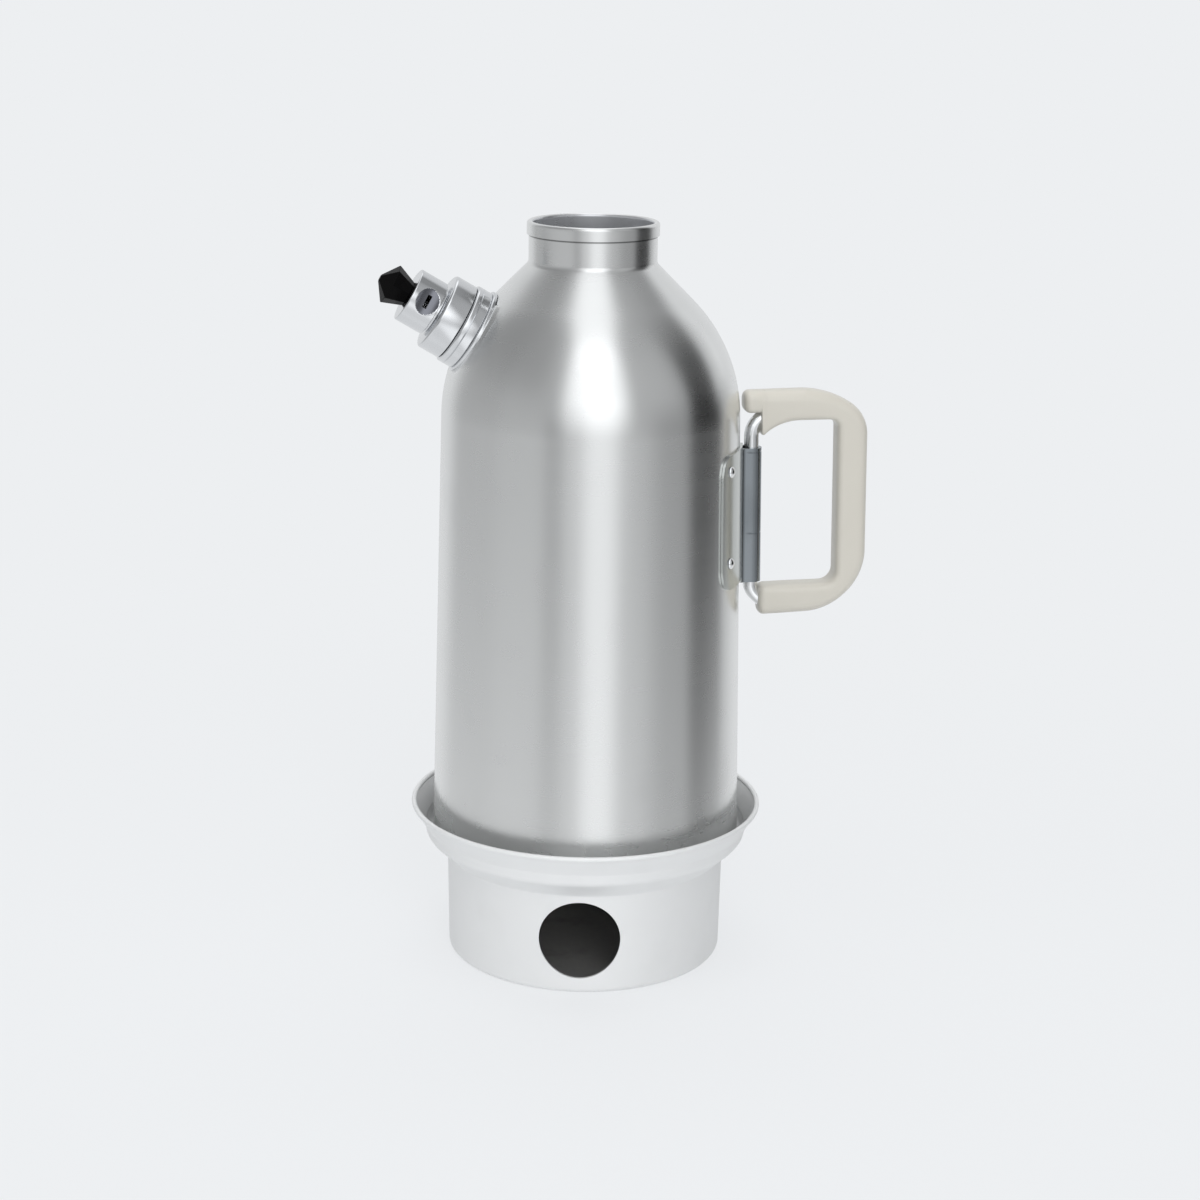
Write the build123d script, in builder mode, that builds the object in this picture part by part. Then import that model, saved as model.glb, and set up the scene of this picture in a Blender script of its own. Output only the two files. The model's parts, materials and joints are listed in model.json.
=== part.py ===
from build123d import *
import os
from math import atan2, cos, radians, sin, tan

# Camping samovar, also called a storm kettle: a double-walled bottle with a flue up its
# middle stands in a loose fire base. Water fills the space between shell and flue, and
# twigs burn in the base. Millimetres, +Z up, origin at the middle of the base's foot.
# The handle points to +X, the spout to -X, and the air hole to about -Y.

os.makedirs("parts", exist_ok=True)

# ---------------------------------------------------------------- driving sizes
overall_height = 350.0

fit_gap = 0.1  # between pieces of one body that are pushed or folded together
running_gap = 0.1  # round a shaft or a thread
loose_gap = 0.3  # between bodies that only touch

# kettle shell, outer surface
shell_wall = 1.0
body_foot_radius = 73.2
body_draft = 4.9
shoulder_slope = 45.0
shoulder_bend = 76.0
neck_radius = 29.3
neck_height = 18.8
neck_bend = 1.6

# fire base, outer surface; widths are steps in or out from the kettle's foot
base_wall = 1.2
seat_width = 7.0
chamber_draft = 0.7
chamber_height = 48.8
chamber_bend = 2.4
foot_bend = 2.4
bowl_clearance = 3.1
bowl_rise = 9.2
bowl_bend = 5.0
lip_draft = 1.0
lip_rise = 5.5
lip_bend = 3.0
rim_flare = 6.2
rim_rise = 10.7
bead_radius = 1.2
air_hole_radius = 18.9
air_hole_margin = 3.2
air_hole_azimuth = -99.7

# flue and water jacket floor
flue_wall = 0.8
hem_height = 6.0
flue_neck_drop = 2.2
jacket_width = 11.2
flue_skirt_height = 12.0
flue_neck_bend = 8.0
flue_foot_bend = 8.0
floor_wall = 1.0
floor_upstand = 9.0
sheet_bend = 1.5

# spout, measured along its own axis from its seat on the shoulder
spout_rise = 30.5
spout_offset = 2.9  # how far the axis passes above the middle of the shoulder's bend
spout_sink = 3.2
seat_land = 1.4
seat_press = 8.0
edge_break = 0.5
ring_step = 1.2
ring_height = 1.6
collar_step = 1.0
collar_height = 7.3
tail_step = 0.9
tail_lip_width = 1.4
tail_lip_height = 1.3
spout_wall = 2.8
thread_radius = 15.6
thread_length = 7.4
thread_pitch = 2.5
thread_depth = 0.8

# cap, gasket and whistle
skirt_wall = 2.5
skirt_height = 10.6
skirt_bevel = 0.8
gasket_height = 1.6
gasket_bore = 6.0
steam_hole_radius = 3.0
waist_step = 0.9
waist_height = 1.4
spigot_height = 1.4
whistle_wall = 2.9
whistle_bore = 9.9
whistle_height = 13.5
whistle_end_wall = 1.8
window_height = 2.0
window_width = 7.4
window_start = 4.8
window_azimuth = 12.0
dimple_radius = 9.5
dimple_depth = 1.6
languet_height = 1.2
windway_depth = 1.3

# knob
knob_foot_width = 11.8
knob_belt_width = 19.0
knob_belt_height = 9.2
knob_point_height = 5.6
knob_tip_width = 3.0
knob_sides = 8
knob_turn = 6.0
knob_rounding = 0.25
stud_radius = 1.6
stud_length = 7.0
stud_head_radius = 3.4
stud_head_height = 1.4

# hinge bracket, in the hinge's own frame: x outwards, z up along the pin
hinge_stand = 6.8
hinge_drop = 80.0
barrel_wall = 1.3
barrel_length = 64.4
barrel_seam_height = -8.4
seam_width = 0.5
seam_depth = 0.35
root_width = 14.0
plate_wall = 1.2
plate_trim = 1.4
plate_rise = 5.0
plate_half_angle = 39.5
plate_corner = 9.0
rivet_edge_angle = 6.5
rivet_margin = 10.2
rivet_rise = 2.4
rivet_radius = 1.6
rivet_head_radius = 2.6
rivet_head_height = 1.5
washer_radius = 3.6
washer_wall = 0.6

# handle
rod_radius = 3.5
rod_top_bend = 19.0
rod_foot_bend = 8.0
rod_end_cover = 19.5
rod_top_rise = 20.2
rod_foot_drop = 10.8
rod_play = 1.0
rod_foot_turn = 45.0
grip_bar_reach = 47.5
grip_bar_width = 15.0
grip_depth = 12.4
grip_arm_width = 14.7
grip_top_rise = 19.8
grip_foot_drop = 9.2
grip_foot_slope = 1.0
grip_top_end = -4.2
grip_foot_end = 3.2
grip_flare_drop = 8.3
grip_flare_reach = 20.0
grip_top_shoulder = (20.0, 12.3)  # how far each outer corner is cut back, along and down
grip_top_bends = (44.0, 18.0)
grip_foot_shoulder = (19.0, 16.0)
grip_foot_bends = (28.0, 28.0)
grip_inner_corner = 5.5
grip_end_corner = 4.3
grip_rounding = 4.0
grip_end_slope = 1.0
grip_rod_cover = 1.5
grip_end_lift = 4.0


# ---------------------------------------------------------------- derived places
def inset(corners, distance):
    """Corners of the line that runs at a distance to the left of a line of corners."""
    moved = []
    for index, corner in enumerate(corners):
        here = Vector(*corner)
        before = here - Vector(*corners[index - 1]) if index else None
        after = Vector(*corners[index + 1]) - here if index + 1 < len(corners) else None
        arrive = (before or after).normalized()
        leave = (after or before).normalized()
        side = Vector(-arrive.Y - leave.Y, arrive.X + leave.X).normalized()
        reach = distance / side.dot(Vector(-arrive.Y, arrive.X))
        moved.append((here.X + side.X * reach, here.Y + side.Y * reach))
    return moved


def sheet(corners, bends, wall):
    """Spin a bent sheet of even thickness, whose middle runs along the corners, about Z."""
    with BuildSketch(Plane.XZ) as section:
        with BuildLine() as middle:
            FilletPolyline(*corners, radius=bends)
        trace(middle.line, line_width=wall)
    revolve(section.sketch, axis=Axis.Z)


def spun_solid(corners, bends, mode=Mode.ADD):
    """Spin the whole area between the Z axis and a line of corners."""
    first, last = corners[0], corners[-1]
    with BuildSketch(Plane.XZ) as section:
        with BuildLine() as border:
            FilletPolyline(*corners, radius=bends)
            Polyline(last, (0, last[1]), (0, first[1]), first)
        make_face()
    revolve(section.sketch, axis=Axis.Z, mode=mode)


chamber_radius = body_foot_radius - seat_width
foot_radius = chamber_radius - chamber_draft
bowl_radius = body_foot_radius + bowl_clearance
bowl_height = chamber_height + bowl_rise
lip_radius = bowl_radius + lip_draft
lip_height = bowl_height + lip_rise
rim_radius = lip_radius + rim_flare
rim_height = lip_height + rim_rise
air_hole_height = chamber_height - air_hole_margin - air_hole_radius
bowl_slope = atan2(bowl_rise, bowl_radius - chamber_radius)
bowl_seat_height = (
    chamber_height
    + (body_foot_radius - chamber_radius) * tan(bowl_slope)
    + base_wall / cos(bowl_slope)
)
kettle_foot_height = bowl_seat_height + loose_gap
body_corner_radius = body_foot_radius - body_draft
neck_foot_height = overall_height - neck_height
corner_height = neck_foot_height - (body_corner_radius - neck_radius) * tan(radians(shoulder_slope))
body_taper = (body_foot_radius - body_corner_radius) / (corner_height - kettle_foot_height)


def shell_radius(height):
    """Outer radius of the straight part of the shell at a height."""
    return body_foot_radius - body_taper * (height - kettle_foot_height)


neck_top_height = overall_height - 2 * flue_wall - fit_gap
shell_corners = [
    (body_foot_radius, kettle_foot_height),
    (body_corner_radius, corner_height),
    (neck_radius, neck_foot_height),
    (neck_radius, neck_top_height),
]
shell_bends = [shoulder_bend, neck_bend]
cavity_bends = [shoulder_bend - shell_wall, neck_bend + shell_wall]

# The shoulder's bend starts at the top of the straight body. The spout's seat is set from
# the middle of that bend, on the -X side.
body_lean = atan2(body_taper, 1)
shoulder_turn = radians(shoulder_slope) - body_lean
shoulder_foot_height = corner_height - shoulder_bend * tan(shoulder_turn / 2) * cos(body_lean)
shoulder_middle = Vector(
    shoulder_bend * cos(body_lean) - shell_radius(shoulder_foot_height),
    0,
    shoulder_foot_height - shoulder_bend * sin(body_lean),
)
spout_direction = Vector(-cos(radians(spout_rise)), 0, sin(radians(spout_rise)))
spout_up = Vector(sin(radians(spout_rise)), 0, cos(radians(spout_rise)))
spout_seat_distance = (shoulder_bend**2 - spout_offset**2) ** 0.5 - spout_sink
spout_origin = shoulder_middle + spout_up * spout_offset + spout_direction * spout_seat_distance
spout_seat = Plane(origin=spout_origin, x_dir=(0, -1, 0), z_dir=spout_direction)
spout_section = Plane(
    origin=spout_origin,
    x_dir=spout_seat.x_dir,
    z_dir=spout_seat.x_dir.cross(spout_direction),
)
spout_axis = Axis(spout_origin, spout_direction)
skirt_radius = thread_radius + running_gap + skirt_wall
collar_radius = skirt_radius + collar_step
ring_radius = collar_radius + ring_step
tail_radius = thread_radius + tail_step
tail_lip_radius = tail_radius + tail_lip_width
spout_bore = thread_radius - spout_wall
spout_seat_radius = ring_radius + seat_land

hinge_height = corner_height - hinge_drop
hinge_radius = shell_radius(hinge_height) + hinge_stand
hinge = Plane(
    origin=(hinge_radius, 0, hinge_height),
    x_dir=(cos(body_lean), 0, sin(body_lean)),
    z_dir=(-sin(body_lean), 0, cos(body_lean)),
)
hinge_side = Plane(origin=hinge.origin, x_dir=hinge.x_dir, z_dir=(0, -1, 0))
barrel_bore = rod_radius + running_gap
barrel_radius = barrel_bore + barrel_wall
plate_height = barrel_length - plate_trim
rivet_angle = plate_half_angle - rivet_edge_angle
rivet_spacing = plate_height - 2 * rivet_margin


def turned(outline, mode=Mode.ADD):
    """Turn a closed outline of (radius, distance from the seat) about the spout's axis."""
    with BuildSketch(spout_section) as section:
        with BuildLine():
            Polyline(*outline, close=True)
        make_face()
    revolve(section.sketch, axis=spout_axis, mode=mode)


def finish(piece, label):
    """Name a finished piece and write its file."""
    piece.part.label = label
    export_step(piece.part, f"parts/{label}.step")


# ---------------------------------------------------------------- fire base
# One spun sheet: flat floor, upright fire chamber, bowl that carries the kettle, and a
# flared lip whose edge is rolled into a bead.
lip_top_height = rim_height - bead_radius
lip_corners = [
    (foot_radius, 0),
    (chamber_radius, chamber_height),
    (bowl_radius, bowl_height),
    (lip_radius, lip_height),
    (rim_radius - bead_radius, lip_top_height),
]
base_middle = [(0, base_wall / 2)] + [
    (radius, max(height, base_wall / 2)) for radius, height in inset(lip_corners, base_wall / 2)
]
base_bends = [foot_bend, chamber_bend, bowl_bend, lip_bend]
with BuildPart() as fire_base:
    sheet(base_middle, base_bends, base_wall)
    with BuildSketch(Plane.XZ):
        with Locations((rim_radius - bead_radius, lip_top_height)):
            Circle(bead_radius)
    revolve(axis=Axis.Z)
    hole_plane = Plane(
        origin=(0, 0, air_hole_height),
        x_dir=(cos(radians(air_hole_azimuth + 90)), sin(radians(air_hole_azimuth + 90)), 0),
        z_dir=(cos(radians(air_hole_azimuth)), sin(radians(air_hole_azimuth)), 0),
    )
    with BuildSketch(hole_plane):
        Circle(air_hole_radius)
    extrude(amount=rim_radius, mode=Mode.SUBTRACT)
finish(fire_base, "fire_base")

# ---------------------------------------------------------------- kettle shell
# The hollow inside the shell, one wall in from its outer face. The seat pressed for the
# spout stands proud of the shoulder above and is sunk into it below.
cavity_line = inset(shell_corners, shell_wall)
cavity_line[0] = (cavity_line[0][0], kettle_foot_height - shell_wall)
cavity_line[-1] = (cavity_line[-1][0], neck_top_height + shell_wall)
with BuildPart() as shell_hollow:
    spun_solid(cavity_line, cavity_bends)
    with BuildSketch(spout_seat.offset(-shell_wall)):
        Circle(spout_seat_radius + shell_wall)
    extrude(amount=seat_press, mode=Mode.SUBTRACT)
    with BuildSketch(spout_seat.offset(-shell_wall)):
        Circle(spout_seat_radius - shell_wall)
    extrude(amount=-seat_press)


def rivet_places():
    """Planes on the shell's outer face, one for each rivet, with z along its shank."""
    for angle in (-rivet_angle, rivet_angle):
        across = Vector(cos(radians(angle)), sin(radians(angle)), 0)
        for height in (-rivet_spacing / 2, rivet_spacing / 2):
            place = across * shell_radius(rivet_height + height)
            yield Plane(
                origin=(place.X, place.Y, rivet_height + height),
                x_dir=(-across.Y, across.X, 0),
                z_dir=(across.X * cos(body_lean), across.Y * cos(body_lean), sin(body_lean)),
            )


rivet_height = hinge_height + plate_rise + rivet_rise
rivet_hole_radius = rivet_radius + fit_gap

with BuildPart() as outer_shell:
    spun_solid(shell_corners, shell_bends)
    with BuildSketch(spout_seat):
        Circle(spout_seat_radius)
    extrude(amount=-seat_press)
    with BuildSketch(spout_seat):
        Circle(spout_seat_radius)
    extrude(amount=seat_press, mode=Mode.SUBTRACT)
    add(shell_hollow.part, mode=Mode.SUBTRACT)
    with BuildSketch(spout_seat):
        Circle(tail_radius + fit_gap)
    extrude(amount=seat_press, both=True, mode=Mode.SUBTRACT)
    for place in rivet_places():
        with BuildSketch(place):
            Circle(rivet_hole_radius)
        extrude(amount=2 * shell_wall, both=True, mode=Mode.SUBTRACT)
finish(outer_shell, "outer_shell")

# ---------------------------------------------------------------- flue
# One tube from the kettle's foot to the top, where it is folded out over the neck.
fold_bend = 0.47 * (shell_wall + 2 * fit_gap + flue_wall)
hem_middle = neck_radius + fit_gap + flue_wall / 2
throat_middle = neck_radius - shell_wall - fit_gap - flue_wall / 2
flue_foot_radius = body_foot_radius - jacket_width
skirt_middle = flue_foot_radius - flue_wall / 2
jacket_floor_height = kettle_foot_height + 1.5 * floor_wall
with BuildPart() as flue_tube:
    sheet(
        [
            (hem_middle, overall_height - hem_height),
            (hem_middle, overall_height - flue_wall / 2),
            (throat_middle, overall_height - flue_wall / 2),
            (throat_middle, neck_foot_height - flue_neck_drop),
            (skirt_middle, jacket_floor_height + flue_skirt_height),
            (skirt_middle, jacket_floor_height - floor_wall / 2),
        ],
        [fold_bend, fold_bend, flue_neck_bend, flue_foot_bend],
        flue_wall,
    )
finish(flue_tube, "flue_tube")

# ---------------------------------------------------------------- water jacket floor
# A flanged ring that closes the space between the flue's foot and the shell's foot.
floor_inner_middle = flue_foot_radius + fit_gap + floor_wall / 2
floor_top = jacket_floor_height + floor_upstand


def floor_outer_middle(height):
    """Radius of the middle of the floor's outer upstand at a height."""
    return shell_radius(height) - shell_wall - fit_gap - floor_wall / 2


with BuildPart() as jacket_floor:
    sheet(
        [
            (floor_inner_middle, floor_top),
            (floor_inner_middle, jacket_floor_height),
            (floor_outer_middle(jacket_floor_height), jacket_floor_height),
            (floor_outer_middle(floor_top), floor_top),
        ],
        [sheet_bend, sheet_bend],
        floor_wall,
    )
finish(jacket_floor, "jacket_floor")

# ---------------------------------------------------------------- spout
# A turned neck: its tail goes through ring and shell and is spread inside, its collar
# stands on the ring, and the cap screws on the thread above the collar.
collar_foot = ring_height
collar_top = collar_foot + collar_height
thread_top = collar_top + thread_length
tail_lip_top = -shell_wall - fit_gap
tail_foot = tail_lip_top - tail_lip_height
with BuildPart() as spout_ring:
    turned(
        [
            (tail_radius + fit_gap, 0),
            (ring_radius, 0),
            (ring_radius, ring_height - edge_break),
            (ring_radius - edge_break, ring_height),
            (tail_radius + fit_gap, ring_height),
        ]
    )
finish(spout_ring, "spout_ring")

with BuildPart() as spout_neck:
    turned(
        [
            (spout_bore, tail_foot),
            (tail_lip_radius, tail_foot),
            (tail_lip_radius, tail_lip_top),
            (tail_radius, tail_lip_top),
            (tail_radius, collar_foot),
            (collar_radius - edge_break, collar_foot),
            (collar_radius, collar_foot + edge_break),
            (collar_radius, collar_top - edge_break),
            (collar_radius - edge_break, collar_top),
            (thread_radius, collar_top),
            (thread_radius, thread_top - edge_break),
            (thread_radius - edge_break, thread_top),
            (spout_bore, thread_top),
        ]
    )
    for turn in range(int(thread_length / thread_pitch)):
        groove = collar_top + (turn + 0.5) * thread_pitch
        turned(
            [
                (thread_radius + edge_break, groove),
                (thread_radius - thread_depth, groove + thread_pitch / 4),
                (thread_radius + edge_break, groove + thread_pitch / 2),
            ],
            mode=Mode.SUBTRACT,
        )
finish(spout_neck, "spout_neck")

# ---------------------------------------------------------------- cap and gasket
cap_foot = collar_top + loose_gap
gasket_foot = thread_top + running_gap
gasket_top = gasket_foot + gasket_height
cap_top = cap_foot + skirt_height
cap_bore = thread_radius + running_gap
waist_radius = whistle_bore + waist_step
waist_top = cap_top + waist_height
spigot_top = waist_top + spigot_height
with BuildPart() as cap_gasket:
    turned(
        [
            (gasket_bore, gasket_foot),
            (cap_bore - loose_gap, gasket_foot),
            (cap_bore - loose_gap, gasket_top),
            (gasket_bore, gasket_top),
        ]
    )
finish(cap_gasket, "cap_gasket")

with BuildPart() as cap_shell:
    turned(
        [
            (cap_bore, cap_foot),
            (skirt_radius - edge_break, cap_foot),
            (skirt_radius, cap_foot + edge_break),
            (skirt_radius, cap_top - skirt_bevel),
            (skirt_radius - skirt_bevel, cap_top),
            (waist_radius, cap_top),
            (waist_radius, waist_top),
            (whistle_bore - fit_gap, waist_top),
            (whistle_bore - fit_gap, spigot_top),
            (steam_hole_radius, spigot_top),
            (steam_hole_radius, gasket_top),
            (cap_bore, gasket_top),
        ]
    )
finish(cap_shell, "cap_shell")

# ---------------------------------------------------------------- whistle
# A closed tube with a window milled in a dimple. Steam leaves the spigot, passes the
# flat on the languet and strikes the window's upper edge.
whistle_radius = whistle_bore + whistle_wall
whistle_top = waist_top + whistle_height
whistle_end = whistle_top - whistle_end_wall
window_foot = waist_top + window_start
window_way = (
    spout_seat.x_dir * cos(radians(window_azimuth)) + spout_seat.y_dir * sin(radians(window_azimuth))
)
window_across = spout_direction.cross(window_way)
window_middle = spout_origin + spout_direction * (window_foot + window_height / 2)
with BuildPart() as whistle_body:
    turned(
        [
            (whistle_bore, waist_top),
            (whistle_radius - edge_break, waist_top),
            (whistle_radius, waist_top + edge_break),
            (whistle_radius, whistle_top - edge_break),
            (whistle_radius - edge_break, whistle_top),
            (stud_radius + fit_gap, whistle_top),
            (stud_radius + fit_gap, whistle_end),
            (whistle_bore, whistle_end),
        ]
    )
    dimple_middle = window_middle + window_way * (whistle_radius - dimple_depth + dimple_radius)
    with BuildSketch(Plane(origin=dimple_middle, x_dir=window_way, z_dir=window_across)):
        Circle(dimple_radius)
    extrude(amount=whistle_radius, both=True, mode=Mode.SUBTRACT)
    with BuildSketch(Plane(origin=window_middle, x_dir=window_across, z_dir=window_way)):
        Rectangle(window_width, window_height)
    extrude(amount=whistle_radius, mode=Mode.SUBTRACT)
finish(whistle_body, "whistle_body")

languet_radius = whistle_bore - fit_gap
with BuildPart() as whistle_languet:
    turned(
        [
            (0, window_foot - languet_height),
            (languet_radius, window_foot - languet_height),
            (languet_radius, window_foot),
            (0, window_foot),
        ]
    )
    windway_middle = (
        spout_origin + spout_direction * window_foot + window_way * (languet_radius - windway_depth)
    )
    with BuildSketch(Plane(origin=windway_middle, x_dir=window_across, z_dir=window_way)):
        Rectangle(2 * languet_radius, 4 * languet_height)
    extrude(amount=2 * windway_depth, mode=Mode.SUBTRACT)
finish(whistle_languet, "whistle_languet")

# ---------------------------------------------------------------- knob
# A faceted knob that widens to a belt and closes in a blunt point, held by a stud.
knob_sections = [
    (0, knob_foot_width),
    (knob_belt_height, knob_belt_width),
    (knob_belt_height + knob_point_height, knob_tip_width),
]
with BuildPart() as cap_knob:
    for (low, low_width), (high, high_width) in zip(knob_sections, knob_sections[1:]):
        for height, width in ((low, low_width), (high, high_width)):
            with BuildSketch(spout_seat.offset(whistle_top + height)):
                RegularPolygon(width / 2, knob_sides, rotation=knob_turn)
        loft(ruled=True)
    fillet(cap_knob.edges(), radius=knob_rounding)
    with BuildSketch(spout_seat.offset(whistle_top)):
        Circle(stud_radius + fit_gap)
    extrude(amount=stud_length + fit_gap, mode=Mode.SUBTRACT)
finish(cap_knob, "cap_knob")

with BuildPart() as knob_stud:
    turned(
        [
            (0, whistle_end - stud_head_height),
            (stud_head_radius, whistle_end - stud_head_height),
            (stud_head_radius, whistle_end),
            (stud_radius, whistle_end),
            (stud_radius, whistle_top + stud_length),
            (0, whistle_top + stud_length),
        ]
    )
finish(knob_stud, "knob_stud")

# ---------------------------------------------------------------- hinge bracket
# A plate curved to the shell, with a rolled barrel for the handle's pin.
plate_foot = hinge_height + plate_rise - plate_height / 2
plate_top = plate_foot + plate_height
plate_reach = body_foot_radius * sin(radians(plate_half_angle))
root_foot = plate_rise - plate_height / 2
root_base = shell_radius(hinge_height) - hinge_radius + fit_gap + plate_wall / 2
with BuildPart() as handle_bracket:
    with BuildSketch(Plane.XZ):
        with BuildLine():
            Polyline(
                (shell_radius(plate_foot) + fit_gap, plate_foot),
                (shell_radius(plate_foot) + fit_gap + plate_wall, plate_foot),
                (shell_radius(plate_top) + fit_gap + plate_wall, plate_top),
                (shell_radius(plate_top) + fit_gap, plate_top),
                close=True,
            )
        make_face()
    revolve(axis=Axis.Z)
    with BuildSketch(Plane.YZ):
        with Locations((0, hinge_height + plate_rise)):
            RectangleRounded(2 * plate_reach, plate_height, plate_corner)
    extrude(amount=2 * hinge_radius, mode=Mode.INTERSECT)
    with BuildSketch(hinge.offset(root_foot)):
        with BuildLine():
            Polyline(
                (root_base, -root_width / 2),
                (0, -barrel_radius),
                (0, barrel_radius),
                (root_base, root_width / 2),
                close=True,
            )
        make_face()
    extrude(amount=barrel_length / 2 - root_foot)
    with BuildSketch(hinge.offset(-barrel_length / 2)):
        Circle(barrel_radius)
    extrude(amount=barrel_length)
    with BuildSketch(hinge.offset(-barrel_length / 2)):
        Circle(barrel_bore)
    extrude(amount=barrel_length, mode=Mode.SUBTRACT)
    with BuildSketch(hinge.offset(barrel_seam_height)):
        Circle(barrel_radius + seam_depth)
        Circle(barrel_radius - seam_depth, mode=Mode.SUBTRACT)
    extrude(amount=seam_width, mode=Mode.SUBTRACT)
    for place in rivet_places():
        with BuildSketch(place):
            Circle(rivet_hole_radius)
        extrude(amount=3 * plate_wall, mode=Mode.SUBTRACT)
finish(handle_bracket, "handle_bracket")

# ---------------------------------------------------------------- rivets and washers
head_seat = 2 * fit_gap + plate_wall
washer_top = -shell_wall - 2 * fit_gap
washer_foot = washer_top - washer_wall
head_curve = (rivet_head_radius**2 + rivet_head_height**2) / (2 * rivet_head_height)
with BuildPart() as bracket_rivets:
    for place in rivet_places():
        with BuildSketch(place.offset(washer_foot - rivet_head_height)):
            Circle(rivet_head_radius)
        extrude(amount=rivet_head_height)
        with BuildSketch(place.offset(washer_foot)):
            Circle(rivet_radius)
        extrude(amount=head_seat - washer_foot)
        section = Plane(origin=place.origin, x_dir=place.x_dir, z_dir=place.x_dir.cross(place.z_dir))
        with BuildSketch(section) as dome:
            with BuildLine():
                Line((0, head_seat), (rivet_head_radius, head_seat))
                RadiusArc(
                    (rivet_head_radius, head_seat),
                    (0, head_seat + rivet_head_height),
                    -head_curve,
                )
                Line((0, head_seat + rivet_head_height), (0, head_seat))
            make_face()
        revolve(axis=Axis(place.origin, place.z_dir))
finish(bracket_rivets, "bracket_rivets")

with BuildPart() as rivet_washers:
    for place in rivet_places():
        with BuildSketch(place.offset(washer_foot)):
            Circle(washer_radius)
            Circle(rivet_hole_radius, mode=Mode.SUBTRACT)
        extrude(amount=washer_wall)
finish(rivet_washers, "rivet_washers")

# ---------------------------------------------------------------- handle
# A bent rod turns in the barrel, and its two tails are held in the grip's arms.
rod_top_height = barrel_length / 2 + rod_top_rise
rod_foot_height = -barrel_length / 2 - rod_foot_drop
rod_tail = grip_bar_reach - rod_end_cover
rod_foot_start = -barrel_length / 2 - rod_play - rod_foot_bend * tan(radians(rod_foot_turn / 2))
rod_foot_reach = (rod_foot_start - rod_foot_height) * tan(radians(rod_foot_turn))
with BuildPart() as handle_rod:
    with BuildLine(hinge_side) as rod_path:
        FilletPolyline(
            (rod_tail, rod_top_height),
            (0, rod_top_height),
            (0, rod_foot_start),
            (rod_foot_reach, rod_foot_height),
            (rod_tail, rod_foot_height),
            radius=[rod_top_bend, rod_foot_bend, rod_foot_bend],
        )
    rod_start = Plane(origin=rod_path.line @ 0, z_dir=rod_path.line % 0)
    with BuildSketch(rod_start):
        Circle(rod_radius)
    sweep(path=rod_path.line)
finish(handle_rod, "handle_rod")

with BuildPart() as rod_channel:
    with BuildSketch(rod_start.offset(-fit_gap)):
        Circle(rod_radius + fit_gap)
    extrude(amount=fit_gap)
    with BuildSketch(rod_start):
        Circle(rod_radius + fit_gap)
    sweep(path=rod_path.line)

grip_top_height = barrel_length / 2 + grip_top_rise
grip_foot_height = -barrel_length / 2 - grip_foot_drop
grip_top = grip_top_height + grip_arm_width / 2
grip_top_inside = grip_top_height - grip_arm_width / 2
grip_foot = grip_foot_height - grip_arm_width / 2
grip_foot_inside = grip_foot_height + grip_arm_width / 2
grip_bar_outside = grip_bar_reach + grip_bar_width / 2
grip_bar_inside = grip_bar_reach - grip_bar_width / 2
with BuildPart() as handle_grip:
    with BuildSketch(hinge_side):
        with BuildLine():
            FilletPolyline(
                (grip_top_end, grip_top),
                (grip_bar_outside - grip_top_shoulder[0], grip_top),
                (grip_bar_outside, grip_top - grip_top_shoulder[1]),
                (grip_bar_outside, grip_foot + grip_foot_slope + grip_foot_shoulder[1]),
                (grip_bar_outside - grip_foot_shoulder[0], grip_foot + grip_foot_slope),
                (grip_foot_end - grip_end_slope, grip_foot),
                (grip_foot_end + grip_end_slope, grip_foot_inside),
                (grip_bar_inside, grip_foot_inside),
                (grip_bar_inside, grip_top_inside),
                (grip_flare_reach, grip_top_inside),
                (rod_radius + grip_rod_cover, grip_top_inside - grip_flare_drop),
                (grip_top_end, grip_top_inside + grip_end_lift),
                close=True,
                radius=[
                    grip_end_corner,
                    *grip_top_bends,
                    *grip_foot_bends,
                    grip_end_corner,
                    grip_end_corner,
                    grip_inner_corner,
                    grip_inner_corner,
                    grip_flare_reach,
                    grip_end_corner,
                    grip_end_corner,
                ],
            )
        make_face()
    extrude(amount=grip_depth / 2, both=True)
    rims = handle_grip.faces().filter_by(Plane(hinge_side.origin, z_dir=hinge_side.z_dir))
    fillet(rims.edges(), radius=grip_rounding)
    add(rod_channel.part, mode=Mode.SUBTRACT)
finish(handle_grip, "handle_grip")
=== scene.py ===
import json
import logging
import math
from dataclasses import dataclass, field
from enum import Enum
from typing import Any, Sequence

import bmesh
import bpy
import numpy as np
from mathutils import Matrix, Vector


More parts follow.
